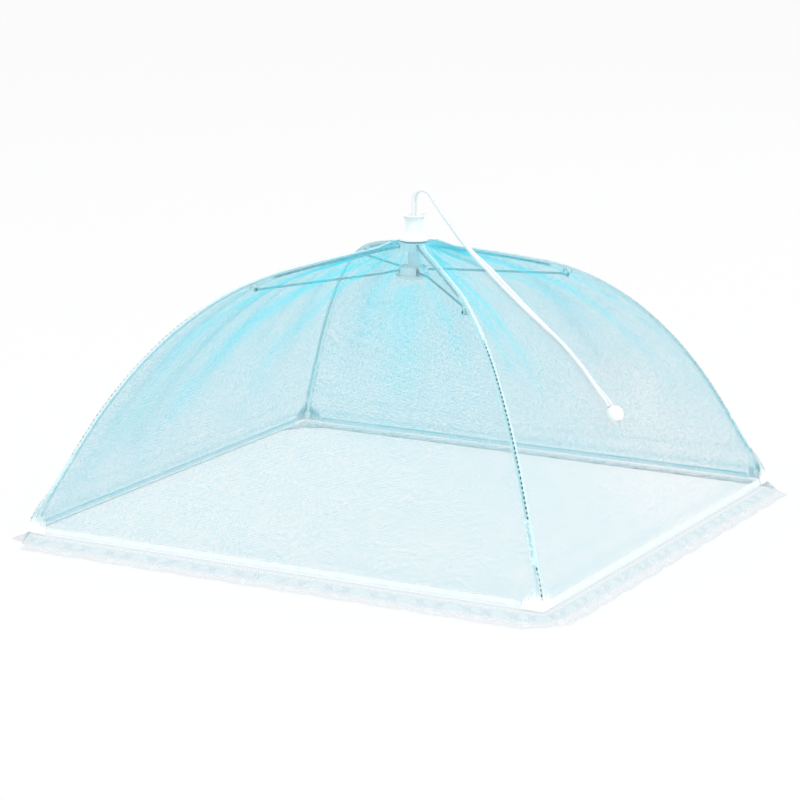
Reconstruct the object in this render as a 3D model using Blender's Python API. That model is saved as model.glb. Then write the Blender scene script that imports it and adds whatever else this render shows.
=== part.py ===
"""Folding mesh food cover: a square net canopy on four wire ribs, opened by a pull cord.

Metres, +Z up. The origin is on the table under the centre. The square's sides lie along X and Y.
Front is -Y and right is +X. Each rib, stretcher and corner piece is built along +X and turned to
its corner; each panel, hem tape and lace strip is built facing +X and turned to its side.
"""

import bpy
import bmesh
from math import acos, atan2, cos, pi, radians, sin, sqrt
from mathutils import Matrix, Vector

# Overall sizes
base_side = 0.430
crown_height = 0.2186
gap = 0.0003
overrun = 0.001

# Wires
rib_radius = 0.0010
stretcher_radius = 0.0009
ring_wire_radius = 0.0006
ring_radius = 0.0086
eye_radius = 0.0019
eye_hole_radius = 0.00095
eye_plate = 0.0016
slot_width = 0.0028
slot_floor_radius = 0.0063

# Top hub
hub_radius = 0.01175
hub_height = 0.0066
hub_deck = 0.0008
shaft_radius = 0.0044
hinge_drop = 0.0030

# Finial
finial_height = 0.0201
finial_flange = 0.0022
finial_waist_radius = 0.00675
finial_waist_low = 0.0090
finial_waist_high = 0.0130
finial_rim_radius = 0.0106
finial_lip = 0.0014
finial_dish = 0.0032
dish_slope_share = 0.8
finial_mouth_radius = 0.0039
finial_shoulder = 0.0155

# Runner and lock shaft
runner_drop = 0.0190
runner_radius = 0.0115
runner_head = 0.0065
runner_head_above = 0.0027
runner_flange_radius = 0.0140
runner_flange = 0.0020
shaft_below = 0.0012

# Rib clips and tips
clip_share_of_rib = 0.3255
clip_length = 0.0070
clip_half_width = 0.0020
clip_above = 0.0010
clip_chamfer = 0.0009
clip_drop = 0.0034
clip_end_radius = 0.0022
pin_radius = 0.0007
pin_head_radius = 0.0016
pin_head = 0.0006
stretcher_plate = 0.0010
stretcher_rivet_head = 0.0005
crank_start = 0.0060
crank_end = 0.0180
crank_bend_shares = ((0.3, 0.15), (0.7, 0.85))
wire_into_plate_share = 0.65
tip_radius = 0.0024
tip_length = 0.0080
tip_wall = 0.0012

# Fabric
panel_thickness = 0.0006
panel_sag = 0.0070
slope_span = 0.0070
fold_height = 0.0016
fold_count = 3
fold_start_share = 0.2
canopy_merge_length = 0.0240
canopy_stations = 18
canopy_slack = 0.0005
canopy_hem_run = 0.0062
canopy_swell_share = 1.5
seam_half_width = 0.0040
seam_thickness = 0.0005
hem_tape_width = 0.0050
hem_tape_thickness = 0.0008
pocket_height = 0.0260
pocket_half_width = 0.0180
pocket_top_half_width = 0.0070
pocket_thickness = 0.0008
lace_reach = 0.0185
lace_thickness = 0.0010
lace_foot = 0.0042
scallop_depth = 0.0030
scallop_count = 12
lace_corner_start_share = 0.86
lace_corner_draw_share = 0.6

# Cord
cord_radius = 0.0015
cord_spacing = 0.0039
bead_radius = 0.0070
bead_length = 0.0130

# The rib's line from its hinge to its tip: shares of the half diagonal and of the crown height
rib_line_shares = (
    (0.171, 0.955),
    (0.319, 0.9135),
    (0.408, 0.8806),
    (0.503, 0.8243),
    (0.604, 0.7347),
    (0.682, 0.643),
    (0.744, 0.5535),
    (0.809, 0.4415),
    (0.871, 0.3134),
    (0.935, 0.1715),
    (0.9775, 0.0590),
)

# The pull cord's middle line, from the finial's mouth over the right panel to the bead
cord_route = (
    (0.0000, 0.0000, 0.2366),
    (0.0000, 0.0000, 0.2480),
    (0.0006, 0.0001, 0.2560),
    (0.0056, 0.0010, 0.2600),
    (0.0137, 0.0024, 0.2525),
    (0.0256, 0.0050, 0.2375),
    (0.0350, 0.0080, 0.2250),
    (0.0430, 0.0100, 0.2155),
    (0.0515, 0.0095, 0.2083),
    (0.0623, 0.0040, 0.2032),
    (0.0724, -0.0035, 0.1990),
    (0.0905, -0.0135, 0.1897),
    (0.1057, -0.0170, 0.1793),
    (0.1199, -0.0150, 0.1671),
    (0.1318, -0.0100, 0.1550),
    (0.1465, -0.0050, 0.1375),
    (0.1570, -0.0026, 0.1232),
    (0.1630, -0.0034, 0.1176),
    (0.1676, -0.0048, 0.1140),
    (0.1712, -0.0060, 0.1096),
)
cord_step = 0.0075

corner_bearings = {
    "front_right": radians(-45),
    "back_right": radians(45),
    "back_left": radians(135),
    "front_left": radians(225),
}
side_bearings = {
    "right": 0.0,
    "back": radians(90),
    "left": radians(180),
    "front": radians(270),
}

# Heights and places that follow from the sizes above
half_diagonal = base_side / sqrt(2)
hub_top = crown_height + gap * 3
deck_height = hub_top + gap
hinge_height = hub_top - hinge_drop
runner_ring_height = hinge_height - runner_drop
bore_radius = shaft_radius + gap
finial_base = deck_height + panel_thickness + gap
shaft_top = finial_base + finial_shoulder - gap
wire_offset = clip_half_width + gap * 1.5 + stretcher_radius


def clear_scene():
    """Start from an empty file."""
    for item in list(bpy.data.objects):
        bpy.data.objects.remove(item, do_unlink=True)


def make_material(name, colour, roughness, metallic=0.0, alpha=1.0):
    """A plain surface in the part's colour."""
    material = bpy.data.materials.new(name)
    material.use_nodes = True
    shader = material.node_tree.nodes["Principled BSDF"]
    shader.inputs["Base Color"].default_value = (*colour, 1.0)
    shader.inputs["Roughness"].default_value = roughness
    shader.inputs["Metallic"].default_value = metallic
    shader.inputs["Alpha"].default_value = alpha
    return material


def new_object(name, mesh, material=None, smooth_angle=None):
    """Put a mesh in the scene as a named object."""
    item = bpy.data.objects.new(name, mesh)
    bpy.context.collection.objects.link(item)
    if material:
        mesh.materials.append(material)
    if smooth_angle:
        mesh.shade_smooth()
        mesh.set_sharp_from_angle(angle=smooth_angle)
    return item


def mesh_from_bmesh(name, shape):
    """Finish a bmesh with its faces pointing out."""
    bmesh.ops.recalc_face_normals(shape, faces=shape.faces)
    mesh = bpy.data.meshes.new(name)
    shape.to_mesh(mesh)
    shape.free()
    return mesh


def turned(name, profile, segments):
    """A closed (radius, height) outline turned round the Z axis."""
    shape = bmesh.new()
    rings = []
    for step in range(segments):
        angle = 2 * pi * step / segments
        turn = Matrix.Rotation(angle, 3, "Z")
        rings.append([shape.verts.new(turn @ Vector((r, 0, z))) for r, z in profile])
    count = len(profile)
    for step in range(segments):
        here, after = rings[step], rings[(step + 1) % segments]
        for i in range(count):
            j = (i + 1) % count
            shape.faces.new((here[i], after[i], after[j], here[j]))
    return mesh_from_bmesh(name, shape)


def turned_solid(name, profile, segments):
    """An open (radius, height) outline that starts and ends on the axis, turned round Z."""
    shape = bmesh.new()
    low = shape.verts.new((0, 0, profile[0][1]))
    high = shape.verts.new((0, 0, profile[-1][1]))
    rings = []
    for step in range(segments):
        turn = Matrix.Rotation(2 * pi * step / segments, 3, "Z")
        rings.append([shape.verts.new(turn @ Vector((r, 0, z))) for r, z in profile[1:-1]])
    count = len(profile) - 2
    for step in range(segments):
        here, after = rings[step], rings[(step + 1) % segments]
        shape.faces.new((low, after[0], here[0]))
        shape.faces.new((high, here[-1], after[-1]))
        for i in range(count - 1):
            shape.faces.new((here[i], after[i], after[i + 1], here[i + 1]))
    return mesh_from_bmesh(name, shape)


def cylinder_across(name, radius, low, high, centre, segments):
    """A cylinder along Y from low to high, round a centre in the XZ plane."""
    shape = bmesh.new()
    turn = Matrix.Rotation(-pi / 2, 4, "X")
    place = Matrix.Translation((centre[0], (low + high) / 2, centre[1]))
    bmesh.ops.create_cone(
        shape,
        cap_ends=True,
        segments=segments,
        radius1=radius,
        radius2=radius,
        depth=high - low,
        matrix=place @ turn,
    )
    return mesh_from_bmesh(name, shape)


def box(name, low, high):
    """A block between two corners."""
    shape = bmesh.new()
    size = [high[i] - low[i] for i in range(3)]
    middle = [(high[i] + low[i]) / 2 for i in range(3)]
    place = Matrix.Translation(middle) @ Matrix.Diagonal((*size, 1))
    bmesh.ops.create_cube(shape, size=1, matrix=place)
    return mesh_from_bmesh(name, shape)


def tube(name, points, radius, resolution):
    """A round wire or cord along points, as a bevelled curve with filled caps, made a mesh."""
    curve = bpy.data.curves.new(name, "CURVE")
    curve.dimensions = "3D"
    curve.bevel_depth = radius
    curve.bevel_resolution = resolution
    curve.use_fill_caps = True
    spline = curve.splines.new("POLY")
    spline.points.add(len(points) - 1)
    for spot, point in zip(spline.points, points):
        spot.co = (*point, 1)
    guide = bpy.data.objects.new(name + "_line", curve)
    bpy.context.collection.objects.link(guide)
    bpy.context.view_layer.update()
    drawn = guide.evaluated_get(bpy.context.evaluated_depsgraph_get())
    mesh = bpy.data.meshes.new_from_object(drawn)
    bpy.data.objects.remove(guide, do_unlink=True)
    bpy.data.curves.remove(curve)
    shape = bmesh.new()
    shape.from_mesh(mesh)
    bmesh.ops.remove_doubles(shape, verts=shape.verts, dist=radius / 100)
    return mesh_from_bmesh(name, shape)


def combine(mesh, other, operation):
    """Join another mesh to this one, or cut it away, and return the result."""
    base = bpy.data.objects.new("base", mesh)
    tool = bpy.data.objects.new("tool", other)
    for item in (base, tool):
        bpy.context.collection.objects.link(item)
    change = base.modifiers.new("combine", "BOOLEAN")
    change.operation = operation
    change.solver = "EXACT"
    change.object = tool
    bpy.context.view_layer.update()
    done = base.evaluated_get(bpy.context.evaluated_depsgraph_get())
    result = bpy.data.meshes.new_from_object(done)
    for item in (base, tool):
        bpy.data.objects.remove(item, do_unlink=True)
    return result


def smooth_line(points, steps):
    """A smooth curve through points, with the given number of steps in each stretch."""
    points = [Vector(p) for p in points]
    padded = [points[0] * 2 - points[1], *points, points[-1] * 2 - points[-2]]
    line = []
    for a, b, c, d in zip(padded, padded[1:], padded[2:], padded[3:]):
        for step in range(steps):
            t = step / steps
            bend = (2 * a - 5 * b + 4 * c - d) * t * t + (3 * b - a - 3 * c + d) * t**3
            line.append((2 * b + (c - a) * t + bend) / 2)
    line.append(points[-1])
    return line


def line_lengths(line):
    """The distance along a line of points at each point."""
    lengths = [0.0]
    for here, after in zip(line, line[1:]):
        lengths.append(lengths[-1] + (after - here).length)
    return lengths


def point_at(line, lengths, distance):
    """The point and the direction at a distance along a line, which runs on straight past its end."""
    i = 0
    while i < len(line) - 2 and lengths[i + 1] < distance:
        i += 1
    direction = (line[i + 1] - line[i]).normalized()
    return line[i] + direction * (distance - lengths[i]), direction


# The rib's middle line in its own upright plane, as (distance from the axis, height)
rib_corners = [Vector((ring_radius, hinge_height))]
rib_corners += [Vector((half_diagonal * r, crown_height * z)) for r, z in rib_line_shares]
rib_line = smooth_line(rib_corners, 12)
rib_lengths = line_lengths(rib_line)
rib_length = rib_lengths[-1]

# The stretcher's pivot under the rib, and the angles of the fold
clip_distance = rib_length * clip_share_of_rib
clip_point, clip_direction = point_at(rib_line, rib_lengths, clip_distance)
clip_normal = Vector((-clip_direction.y, clip_direction.x))
pivot_point = clip_point - clip_normal * clip_drop
runner_hinge = Vector((ring_radius, runner_ring_height))
stretcher_run = pivot_point - runner_hinge
stretcher_length = stretcher_run.length
stretcher_slope = atan2(stretcher_run.y, stretcher_run.x)


def rib_outward(point, direction, distance):
    """A point at a distance above the rib's line."""
    return point + Vector((-direction.y, direction.x)) * distance


def canopy_line():
    """The canopy's underside over a rib, from the hub's deck to the hem, as (radius, height)."""
    hole = (bore_radius + gap) * sqrt(2)
    line = [Vector((hole, deck_height)), Vector(((hub_radius + gap * 2) * sqrt(2), deck_height))]
    end = rib_length + canopy_hem_run
    for step in range(canopy_stations):
        share = step / (canopy_stations - 1)
        distance = canopy_merge_length + (end - canopy_merge_length) * share
        swell = min(max((distance - rib_length) / pocket_height + canopy_swell_share, 0), 1)
        radius = rib_radius + (tip_radius - rib_radius) * swell
        offset = (radius + gap) * sqrt(2) + canopy_slack
        line.append(rib_outward(*point_at(rib_line, rib_lengths, distance), offset))
    return line


canopy = canopy_line()
canopy_lengths = line_lengths(canopy)
canopy_length = canopy_lengths[-1]


def side_frame(distance):
    """The canopy's underside at a distance from the hub, seen square to a side: place and normal."""
    point, direction = point_at(canopy, canopy_lengths, distance)
    low, _ = point_at(canopy, canopy_lengths, max(distance - slope_span, 0))
    high, _ = point_at(canopy, canopy_lengths, distance + slope_span)
    direction = high - low
    across = Vector((direction.x / sqrt(2), direction.y)).normalized()
    return Vector((point.x / sqrt(2), point.y)), Vector((-across.y, across.x))


def panel_form(across, share):
    """How far the net hangs in and ripples between two ribs: zero at ribs, hub and hem."""
    middle = 1 - across * across
    sag = panel_sag * middle * sin(pi * share)
    rise = min(share / fold_start_share, 1) * (1 - share) ** 2
    fold = fold_height * middle * rise * (cos(fold_count * pi * across) - 1)
    return fold - sag


def panel_point(across, distance, height):
    """A point of a panel that faces +X: across from -1 to 1, distance from the hub, height over it."""
    place, normal = side_frame(distance)
    edge = canopy_lengths[1]
    share = max(distance - edge, 0) / (canopy_length - edge)
    spot = place + normal * (height + panel_form(across, share))
    return Vector((spot.x, across * (spot.x - gap / sqrt(2)), spot.y))


def shell(name, lower, upper):
    """A closed solid between two grids of points with the same rows and columns."""
    shape = bmesh.new()
    grids = [[[shape.verts.new(p) for p in row] for row in grid] for grid in (lower, upper)]
    rows, columns = len(lower), len(lower[0])
    for grid in grids:
        for i in range(rows - 1):
            for j in range(columns - 1):
                shape.faces.new((grid[i][j], grid[i][j + 1], grid[i + 1][j + 1], grid[i + 1][j]))
    low, high = grids
    rim = [(0, j) for j in range(columns)]
    rim += [(i, columns - 1) for i in range(1, rows)]
    rim += [(rows - 1, j) for j in range(columns - 2, -1, -1)]
    rim += [(i, 0) for i in range(rows - 2, 0, -1)]
    for (a, b), (c, d) in zip(rim, rim[1:] + rim[:1]):
        shape.faces.new((low[a][b], low[c][d], high[c][d], high[a][b]))
    bmesh.ops.triangulate(shape, faces=shape.faces)
    return mesh_from_bmesh(name, shape)


def panel_mesh():
    """One net panel, between two ribs."""
    columns = 14
    across = [2 * j / columns - 1 for j in range(columns + 1)]
    grids = []
    for height in (0.0, panel_thickness):
        grids.append([[panel_point(u, d, height) for u in across] for d in canopy_lengths])
    return shell("panel", *grids)


def corner_point(distance, sideways, height):
    """A point over a rib that runs along +X: sideways along the panel on either hand."""
    place, normal = side_frame(distance)
    spot = place + normal * height
    reach = abs(sideways) / sqrt(2)
    return Vector((spot.x * sqrt(2) - reach, sideways / sqrt(2), spot.y))


def corner_band(name, stations, base, thickness):
    """A band folded over the corner of two panels; stations are (distance, half width)."""
    grids = []
    for height in (base, base + thickness):
        grids.append([[corner_point(d, w * s, height) for s in (-1, 0, 1)] for d, w in stations])
    return shell(name, *grids)


def seam_mesh():
    """The binding sewn over the edge where two panels meet, from the finial to the corner pocket."""
    start = hub_radius + gap * 4
    end = canopy_length - pocket_height - gap
    inner = [d for d in canopy_lengths if start + seam_half_width < d < end - seam_half_width]
    stations = [(d, seam_half_width) for d in (start, *inner, end)]
    return corner_band("seam", stations, panel_thickness + gap, seam_thickness)


def pocket_mesh():
    """The doubled corner patch that holds the rib's tip."""
    end = canopy_length
    start = end - pocket_height
    stations = [
        (start, pocket_top_half_width),
        ((start + end) / 2, (pocket_top_half_width + pocket_half_width) / 2),
        (end, pocket_half_width),
    ]
    return corner_band("pocket", stations, panel_thickness + gap, pocket_thickness)


def hem_tape_mesh():
    """The tape along a panel's hem, between two corner pockets."""
    grids = []
    for height in (panel_thickness + gap, panel_thickness + gap + hem_tape_thickness):
        rows = []
        for distance in (canopy_length - hem_tape_width, canopy_length):
            place, normal = side_frame(distance)
            spot = place + normal * height
            half = spot.x - pocket_half_width - gap * 4
            rows.append([Vector((spot.x, half * v, spot.y)) for v in (-1, 0, 1)])
        grids.append(rows)
    return shell("hem_tape", *grids)


def lace_outline(share):
    """How far the lace's outer edge reaches at a place along it, from -1 to 1: scallops."""
    turn = (share + 1) / 2 * scallop_count
    place = 2 * (turn - int(turn)) - 1 if turn < scallop_count else 1
    return lace_reach - scallop_depth * (1 - sqrt(max(1 - place * place, 0)))


def lace_draw(share):
    """The lace's width as a share of its full width: it is drawn in towards both ends."""
    run = max(abs(share) - lace_corner_start_share, 0) / (1 - lace_corner_start_share)
    return 1 - lace_corner_draw_share * run * run * (3 - 2 * run)


def lace_mesh():
    """The lace strip below the hem tape, which slopes out and lies on the table at its edge."""
    place, normal = side_frame(canopy_length)
    edge = place + normal * (panel_thickness + gap)
    inner = Vector((edge.x, edge.y - gap * 2))
    drop = inner.y - lace_thickness
    steps = scallop_count * 4
    shares = [2 * i / steps - 1 for i in range(steps + 1)]
    grids = []
    for lift in (0.0, lace_thickness):
        near, foot, far = [], [], []
        for share in shares:
            bend = inner.x + (lace_reach - lace_foot) * lace_draw(share)
            out = inner.x + lace_outline(share) * lace_draw(share)
            near.append(Vector((inner.x, share * (inner.x - gap / 2), drop + lift)))
            foot.append(Vector((bend, share * (bend - gap / 2), lift)))
            far.append(Vector((out, share * (out - gap / 2), lift)))
        grids.append([near, foot, far])
    return shell("lace", *grids)


def turn_to(item, bearing):
    """Turn an object round the upright axis through the centre."""
    item.matrix_world = Matrix.Rotation(bearing, 4, "Z") @ item.matrix_world


def ring_wire(name, height, material):
    """A closed wire ring round the axis, on which the eyes turn."""
    sides = 6
    profile = []
    for i in range(sides):
        angle = 2 * pi * (i + 0.5) / sides
        profile.append((ring_radius + ring_wire_radius * cos(angle), ring_wire_radius * sin(angle)))
    ring = new_object(name, turned(name, profile, 24), material, radians(40))
    ring.location.z = height
    return ring


def slots(mesh, low, high):
    """Cut the four slots for the wires' eyes."""
    for bearing in corner_bearings.values():
        half = slot_width / 2
        cutter = box("slot", (slot_floor_radius, -half, low), (runner_flange_radius * 2, half, high))
        cutter.transform(Matrix.Rotation(bearing, 4, "Z"))
        mesh = combine(mesh, cutter, "DIFFERENCE")
    return mesh


def make_hub(plastic, steel):
    """The slotted hub under the canopy, with its wire ring, hung from the hinge height."""
    top = hub_top - hinge_height
    bottom = top - hub_height
    groove = ring_wire_radius + gap
    profile = [
        (bore_radius, bottom),
        (ring_radius - groove, bottom),
        (ring_radius - groove, groove),
        (ring_radius + groove, groove),
        (ring_radius + groove, bottom),
        (hub_radius - gap * 2, bottom),
        (hub_radius, bottom + gap * 2),
        (hub_radius, top),
        (bore_radius, top),
    ]
    mesh = slots(turned("top_hub", profile, 32), bottom - overrun, top - hub_deck)
    hub = new_object("top_hub", mesh, plastic, radians(35))
    hub.location.z = hinge_height
    ring_wire("hub_ring_wire", hinge_height, steel)


def make_finial(plastic):
    """The spool-shaped knob on top, with a flared rim and a dished mouth for the cord."""
    flange_round = finial_flange / 3
    rise = finial_waist_low - finial_flange
    profile = [(bore_radius, 0.0), (hub_radius, 0.0), (hub_radius, finial_flange - flange_round)]
    profile.append((hub_radius - flange_round, finial_flange))
    steps = 4
    for i in range(1, steps + 1):
        angle = pi / 2 * i / steps
        width = hub_radius - flange_round - finial_waist_radius
        profile.append((finial_waist_radius + width * (1 - sin(angle)), finial_flange + rise * (1 - cos(angle))))
    flare = finial_height - finial_waist_high
    spread = finial_rim_radius - finial_waist_radius
    for i in range(steps + 1):
        angle = pi / 2 * i / steps
        place = finial_waist_radius + spread * (1 - cos(angle))
        profile.append((place, finial_waist_high + (flare - finial_lip / 2) * sin(angle)))
    profile.append((finial_rim_radius - finial_lip / 3, finial_height))
    profile.append((finial_rim_radius - finial_lip, finial_height))
    profile.append((finial_mouth_radius + finial_lip, finial_height - finial_dish * dish_slope_share))
    profile.append((finial_mouth_radius, finial_height - finial_dish))
    profile.append((finial_mouth_radius, finial_shoulder))
    profile.append((bore_radius, finial_shoulder))
    finial = new_object("finial", turned("finial", profile, 28), plastic, radians(40))
    finial.location.z = finial_base


def make_runner(plastic, steel):
    """The runner: a slotted head on a flange, its wire ring, and the shaft that locks in the hub."""
    top = runner_head_above
    bottom = top - runner_head
    groove = ring_wire_radius + gap
    edge = runner_flange / 3
    profile = [
        (bore_radius, bottom - runner_flange),
        (runner_flange_radius - edge, bottom - runner_flange),
        (runner_flange_radius, bottom - runner_flange + edge),
        (runner_flange_radius, bottom - edge),
        (runner_flange_radius - edge, bottom),
        (runner_radius, bottom),
        (runner_radius, top - gap * 2),
        (runner_radius - gap * 2, top),
        (ring_radius + groove, top),
        (ring_radius + groove, -groove),
        (ring_radius - groove, -groove),
        (ring_radius - groove, top),
        (bore_radius, top),
    ]
    mesh = slots(turned("runner", profile, 32), bottom + gap * 2, top + overrun)
    runner = new_object("runner", mesh, plastic, radians(35))
    runner.location.z = runner_ring_height
    ring_wire("runner_ring_wire", runner_ring_height, steel)
    foot = runner_ring_height + bottom - runner_flange - shaft_below
    chamfer = shaft_below / 2
    outline = [
        (0, 0),
        (shaft_radius - chamfer, 0),
        (shaft_radius, chamfer),
        (shaft_radius, shaft_top - foot - chamfer),
        (shaft_radius - chamfer, shaft_top - foot),
        (0, shaft_top - foot),
    ]
    shaft = new_object("lock_shaft", turned_solid("lock_shaft", outline, 24), plastic, radians(40))
    shaft.location.z = foot


def rib_mesh():
    """A rib's wire with its eye, from its hinge."""
    hinge = rib_corners[0]
    start = (eye_hole_radius + eye_radius) / 2
    steps = 22
    points = []
    for i in range(steps + 1):
        share = i / steps
        distance = start + (rib_length - start) * share
        spot, _ = point_at(rib_line, rib_lengths, distance)
        points.append((spot.x - hinge.x, 0, spot.y - hinge.y))
    mesh = tube("rib", points, rib_radius, 1)
    half = eye_plate / 2
    eye = cylinder_across("eye", eye_radius, -half, half, (0, 0), 16)
    mesh = combine(mesh, eye, "UNION")
    hole = cylinder_across("hole", eye_hole_radius, -slot_width, slot_width, (0, 0), 12)
    return combine(mesh, hole, "DIFFERENCE")


def clip_mesh():
    """The moulded clip on a rib: a sleeve with a rounded lug, from the rib's middle line."""
    half = clip_length / 2
    low = -rib_radius * 2
    outline = [(-half, clip_above), (-half, low), (-clip_end_radius, -clip_drop)]
    steps = 6
    for i in range(1, steps):
        angle = pi + pi * i / steps
        outline.append((clip_end_radius * cos(angle), clip_end_radius * sin(angle) - clip_drop))
    outline += [(clip_end_radius, -clip_drop), (half, low), (half, clip_above)]
    shape = bmesh.new()
    sides = []
    for y in (-clip_half_width, clip_half_width):
        sides.append([shape.verts.new((x, y, z)) for x, z in outline])
    shape.faces.new(sides[0])
    shape.faces.new(reversed(sides[1]))
    count = len(outline)
    for i in range(count):
        j = (i + 1) % count
        shape.faces.new((sides[0][i], sides[0][j], sides[1][j], sides[1][i]))
    top_edges = [e for e in shape.edges if all(v.co.z == e.verts[0].co.z > 0 for v in e.verts)]
    long_edges = [e for e in top_edges if e.verts[0].co.y == e.verts[1].co.y]
    bmesh.ops.bevel(shape, geom=long_edges, offset=clip_chamfer, segments=1, affect="EDGES")
    mesh = mesh_from_bmesh("rib_clip", shape)
    bore = cylinder_across("bore", rib_radius + gap, -clip_length, clip_length, (0, 0), 12)
    bore.transform(Matrix.Rotation(pi / 2, 4, "Z"))
    mesh = combine(mesh, bore, "DIFFERENCE")
    reach = clip_half_width * 2
    hole = cylinder_across("hole", pin_radius + gap, -reach, reach, (0, -clip_drop), 12)
    return combine(mesh, hole, "DIFFERENCE")


def pin_mesh():
    """The rivet through a clip's lug, with its head on the side away from the stretcher."""
    head_face = -clip_half_width - gap
    shank = cylinder_across("shank", pin_radius, head_face - pin_head / 2, clip_half_width, (0, 0), 10)
    head = cylinder_across("head", pin_head_radius, head_face - pin_head, head_face, (0, 0), 14)
    return combine(shank, head, "UNION")


def stretcher_mesh():
    """A stretcher along +X from the runner: an eye, a cranked wire, a flat end and its rivet head."""
    start = (eye_hole_radius + eye_radius) / 2
    crank_run = crank_end - crank_start
    route = [
        (start, 0, 0),
        (crank_start, 0, 0),
        *((crank_start + crank_run * x, wire_offset * y, 0) for x, y in crank_bend_shares),
        (crank_end, wire_offset, 0),
        (stretcher_length / 2, wire_offset, 0),
        (stretcher_length - clip_end_radius * wire_into_plate_share, wire_offset, 0),
    ]
    mesh = tube("stretcher", route, stretcher_radius, 1)
    half = eye_plate / 2
    eye = cylinder_across("eye", eye_radius, -half, half, (0, 0), 16)
    mesh = combine(mesh, eye, "UNION")
    hole = cylinder_across("hole", eye_hole_radius, -slot_width, slot_width, (0, 0), 12)
    mesh = combine(mesh, hole, "DIFFERENCE")
    low = clip_half_width + gap
    high = low + stretcher_plate
    plate = cylinder_across("plate", clip_end_radius, low, high, (stretcher_length, 0), 16)
    mesh = combine(mesh, plate, "UNION")
    top = high + stretcher_rivet_head
    middle = (low + high) / 2
    head = cylinder_across("head", pin_head_radius, middle, top, (stretcher_length, 0), 14)
    return combine(mesh, head, "UNION")


def tip_mesh():
    """The rounded cap on a rib's tip, along +X from its open end."""
    round_steps = 4
    outline = [(rib_radius + gap, 0), (tip_radius - gap, 0), (tip_radius, gap)]
    for i in range(round_steps):
        angle = pi / 2 * i / round_steps
        outline.append((tip_radius * cos(angle), tip_length - tip_radius + tip_radius * sin(angle)))
    outline.append((0, tip_length))
    bottom = tip_length - tip_wall
    profile = [(0, bottom), (rib_radius + gap, bottom)] + outline
    mesh = turned_solid("rib_tip", profile, 12)
    mesh.transform(Matrix.Rotation(pi / 2, 4, "Y"))
    return mesh


def make_corner(place, bearing, meshes, plastic, steel):
    """The rib, its clip, rivet and tip cap, and the stretcher, at one corner."""
    rib = new_object("rib_" + place, meshes["rib"].copy(), steel, radians(40))
    hinge = rib_corners[0]
    rib.location = (hinge.x, 0, hinge.y)
    slope = -atan2(clip_direction.y, clip_direction.x)
    clip = new_object("rib_clip_" + place, meshes["clip"].copy(), plastic, radians(40))
    clip.parent = rib
    clip.location = (clip_point.x - hinge.x, 0, clip_point.y - hinge.y)
    clip.rotation_euler = (0, slope, 0)
    pin = new_object("clip_rivet_" + place, meshes["pin"].copy(), steel, radians(40))
    pin.parent = rib
    pin.location = (pivot_point.x - hinge.x, 0, pivot_point.y - hinge.y)
    tip_start = rib_length - (tip_length - tip_wall - gap)
    spot, direction = point_at(rib_line, rib_lengths, tip_start)
    tip = new_object("rib_tip_" + place, meshes["tip"].copy(), plastic, radians(40))
    tip.parent = rib
    tip.location = (spot.x - hinge.x, 0, spot.y - hinge.y)
    tip.rotation_euler = (0, -atan2(direction.y, direction.x), 0)
    stretcher = new_object("stretcher_" + place, meshes["stretcher"].copy(), steel, radians(40))
    stretcher.location = (runner_hinge.x, 0, runner_hinge.y)
    stretcher.rotation_euler = (0, -stretcher_slope, 0)
    bpy.context.view_layer.update()
    turn_to(rib, bearing)
    turn_to(stretcher, bearing)


def make_fabric(net, binding, white):
    """The four net panels with their seams, corner pockets, hem tapes and lace."""
    panel = panel_mesh()
    tape = hem_tape_mesh()
    lace = lace_mesh()
    for place, bearing in side_bearings.items():
        for stem, mesh, material in (
            ("mesh_panel_", panel, net),
            ("hem_tape_", tape, white),
            ("lace_trim_", lace, white),
        ):
            item = new_object(stem + place, mesh.copy(), material, radians(50))
            turn_to(item, bearing)
    seam = seam_mesh()
    pocket = pocket_mesh()
    for place, bearing in corner_bearings.items():
        for stem, mesh, material in (("seam_tape_", seam, binding), ("corner_pocket_", pocket, white)):
            item = new_object(stem + place, mesh.copy(), material, radians(50))
            turn_to(item, bearing)


def make_cord(cotton, plastic):
    """The doubled pull cord, as two strands side by side, and the bead that joins their ends."""
    line = smooth_line(cord_route, 12)
    lengths = line_lengths(line)
    steps = round(lengths[-1] / cord_step)
    middle = [point_at(line, lengths, lengths[-1] * i / steps) for i in range(steps + 1)]
    for name, hand in (("cord_strand_front", -1), ("cord_strand_back", 1)):
        points = []
        for spot, direction in middle:
            flat = Vector((direction.x, direction.y, 0))
            across = Vector((0, 1, 0))
            if flat.length > abs(direction.z) / 4:
                across = Vector((-flat.y, flat.x, 0)).normalized()
            points.append(spot + across * (hand * cord_spacing / 2))
        new_object(name, tube(name, points, cord_radius, 2), cotton, radians(50))
    print("pull cord length", round(lengths[-1], 4))
    spot, direction = middle[-1]
    half = bead_length / 2
    profile = [(0, -half)]
    steps = 8
    for i in range(1, steps):
        angle = pi * i / steps - pi / 2
        profile.append((bead_radius * cos(angle) ** 0.7, half * sin(angle)))
    profile.append((0, half))
    bead = new_object("cord_bead", turned_solid("cord_bead", profile, 16), plastic, radians(35))
    bead.location = spot + direction * (half + gap)
    bead.rotation_euler = direction.to_track_quat("Z", "Y").to_euler()


def fold_motion():
    """Print the fold's travel and turns, from the runner's highest place to the ribs folded down."""
    hinge = rib_corners[0]
    arm = pivot_point - hinge
    turn = radians(52)
    angle = atan2(arm.y, arm.x) - turn
    folded = Vector((cos(angle), sin(angle))) * arm.length
    reach = hinge.x + folded.x - ring_radius
    rise = sqrt(stretcher_length**2 - reach**2)
    travel = runner_ring_height - (hinge.y + folded.y - rise)
    lift = acos(reach / stretcher_length) - stretcher_slope
    print("rib turn", turn, "runner travel", travel, "stretcher turn", lift)
    print("hinge", hinge, "runner hinge", runner_hinge, "pivot", pivot_point)
    print("rib length", rib_length, "stretcher length", stretcher_length)


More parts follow.
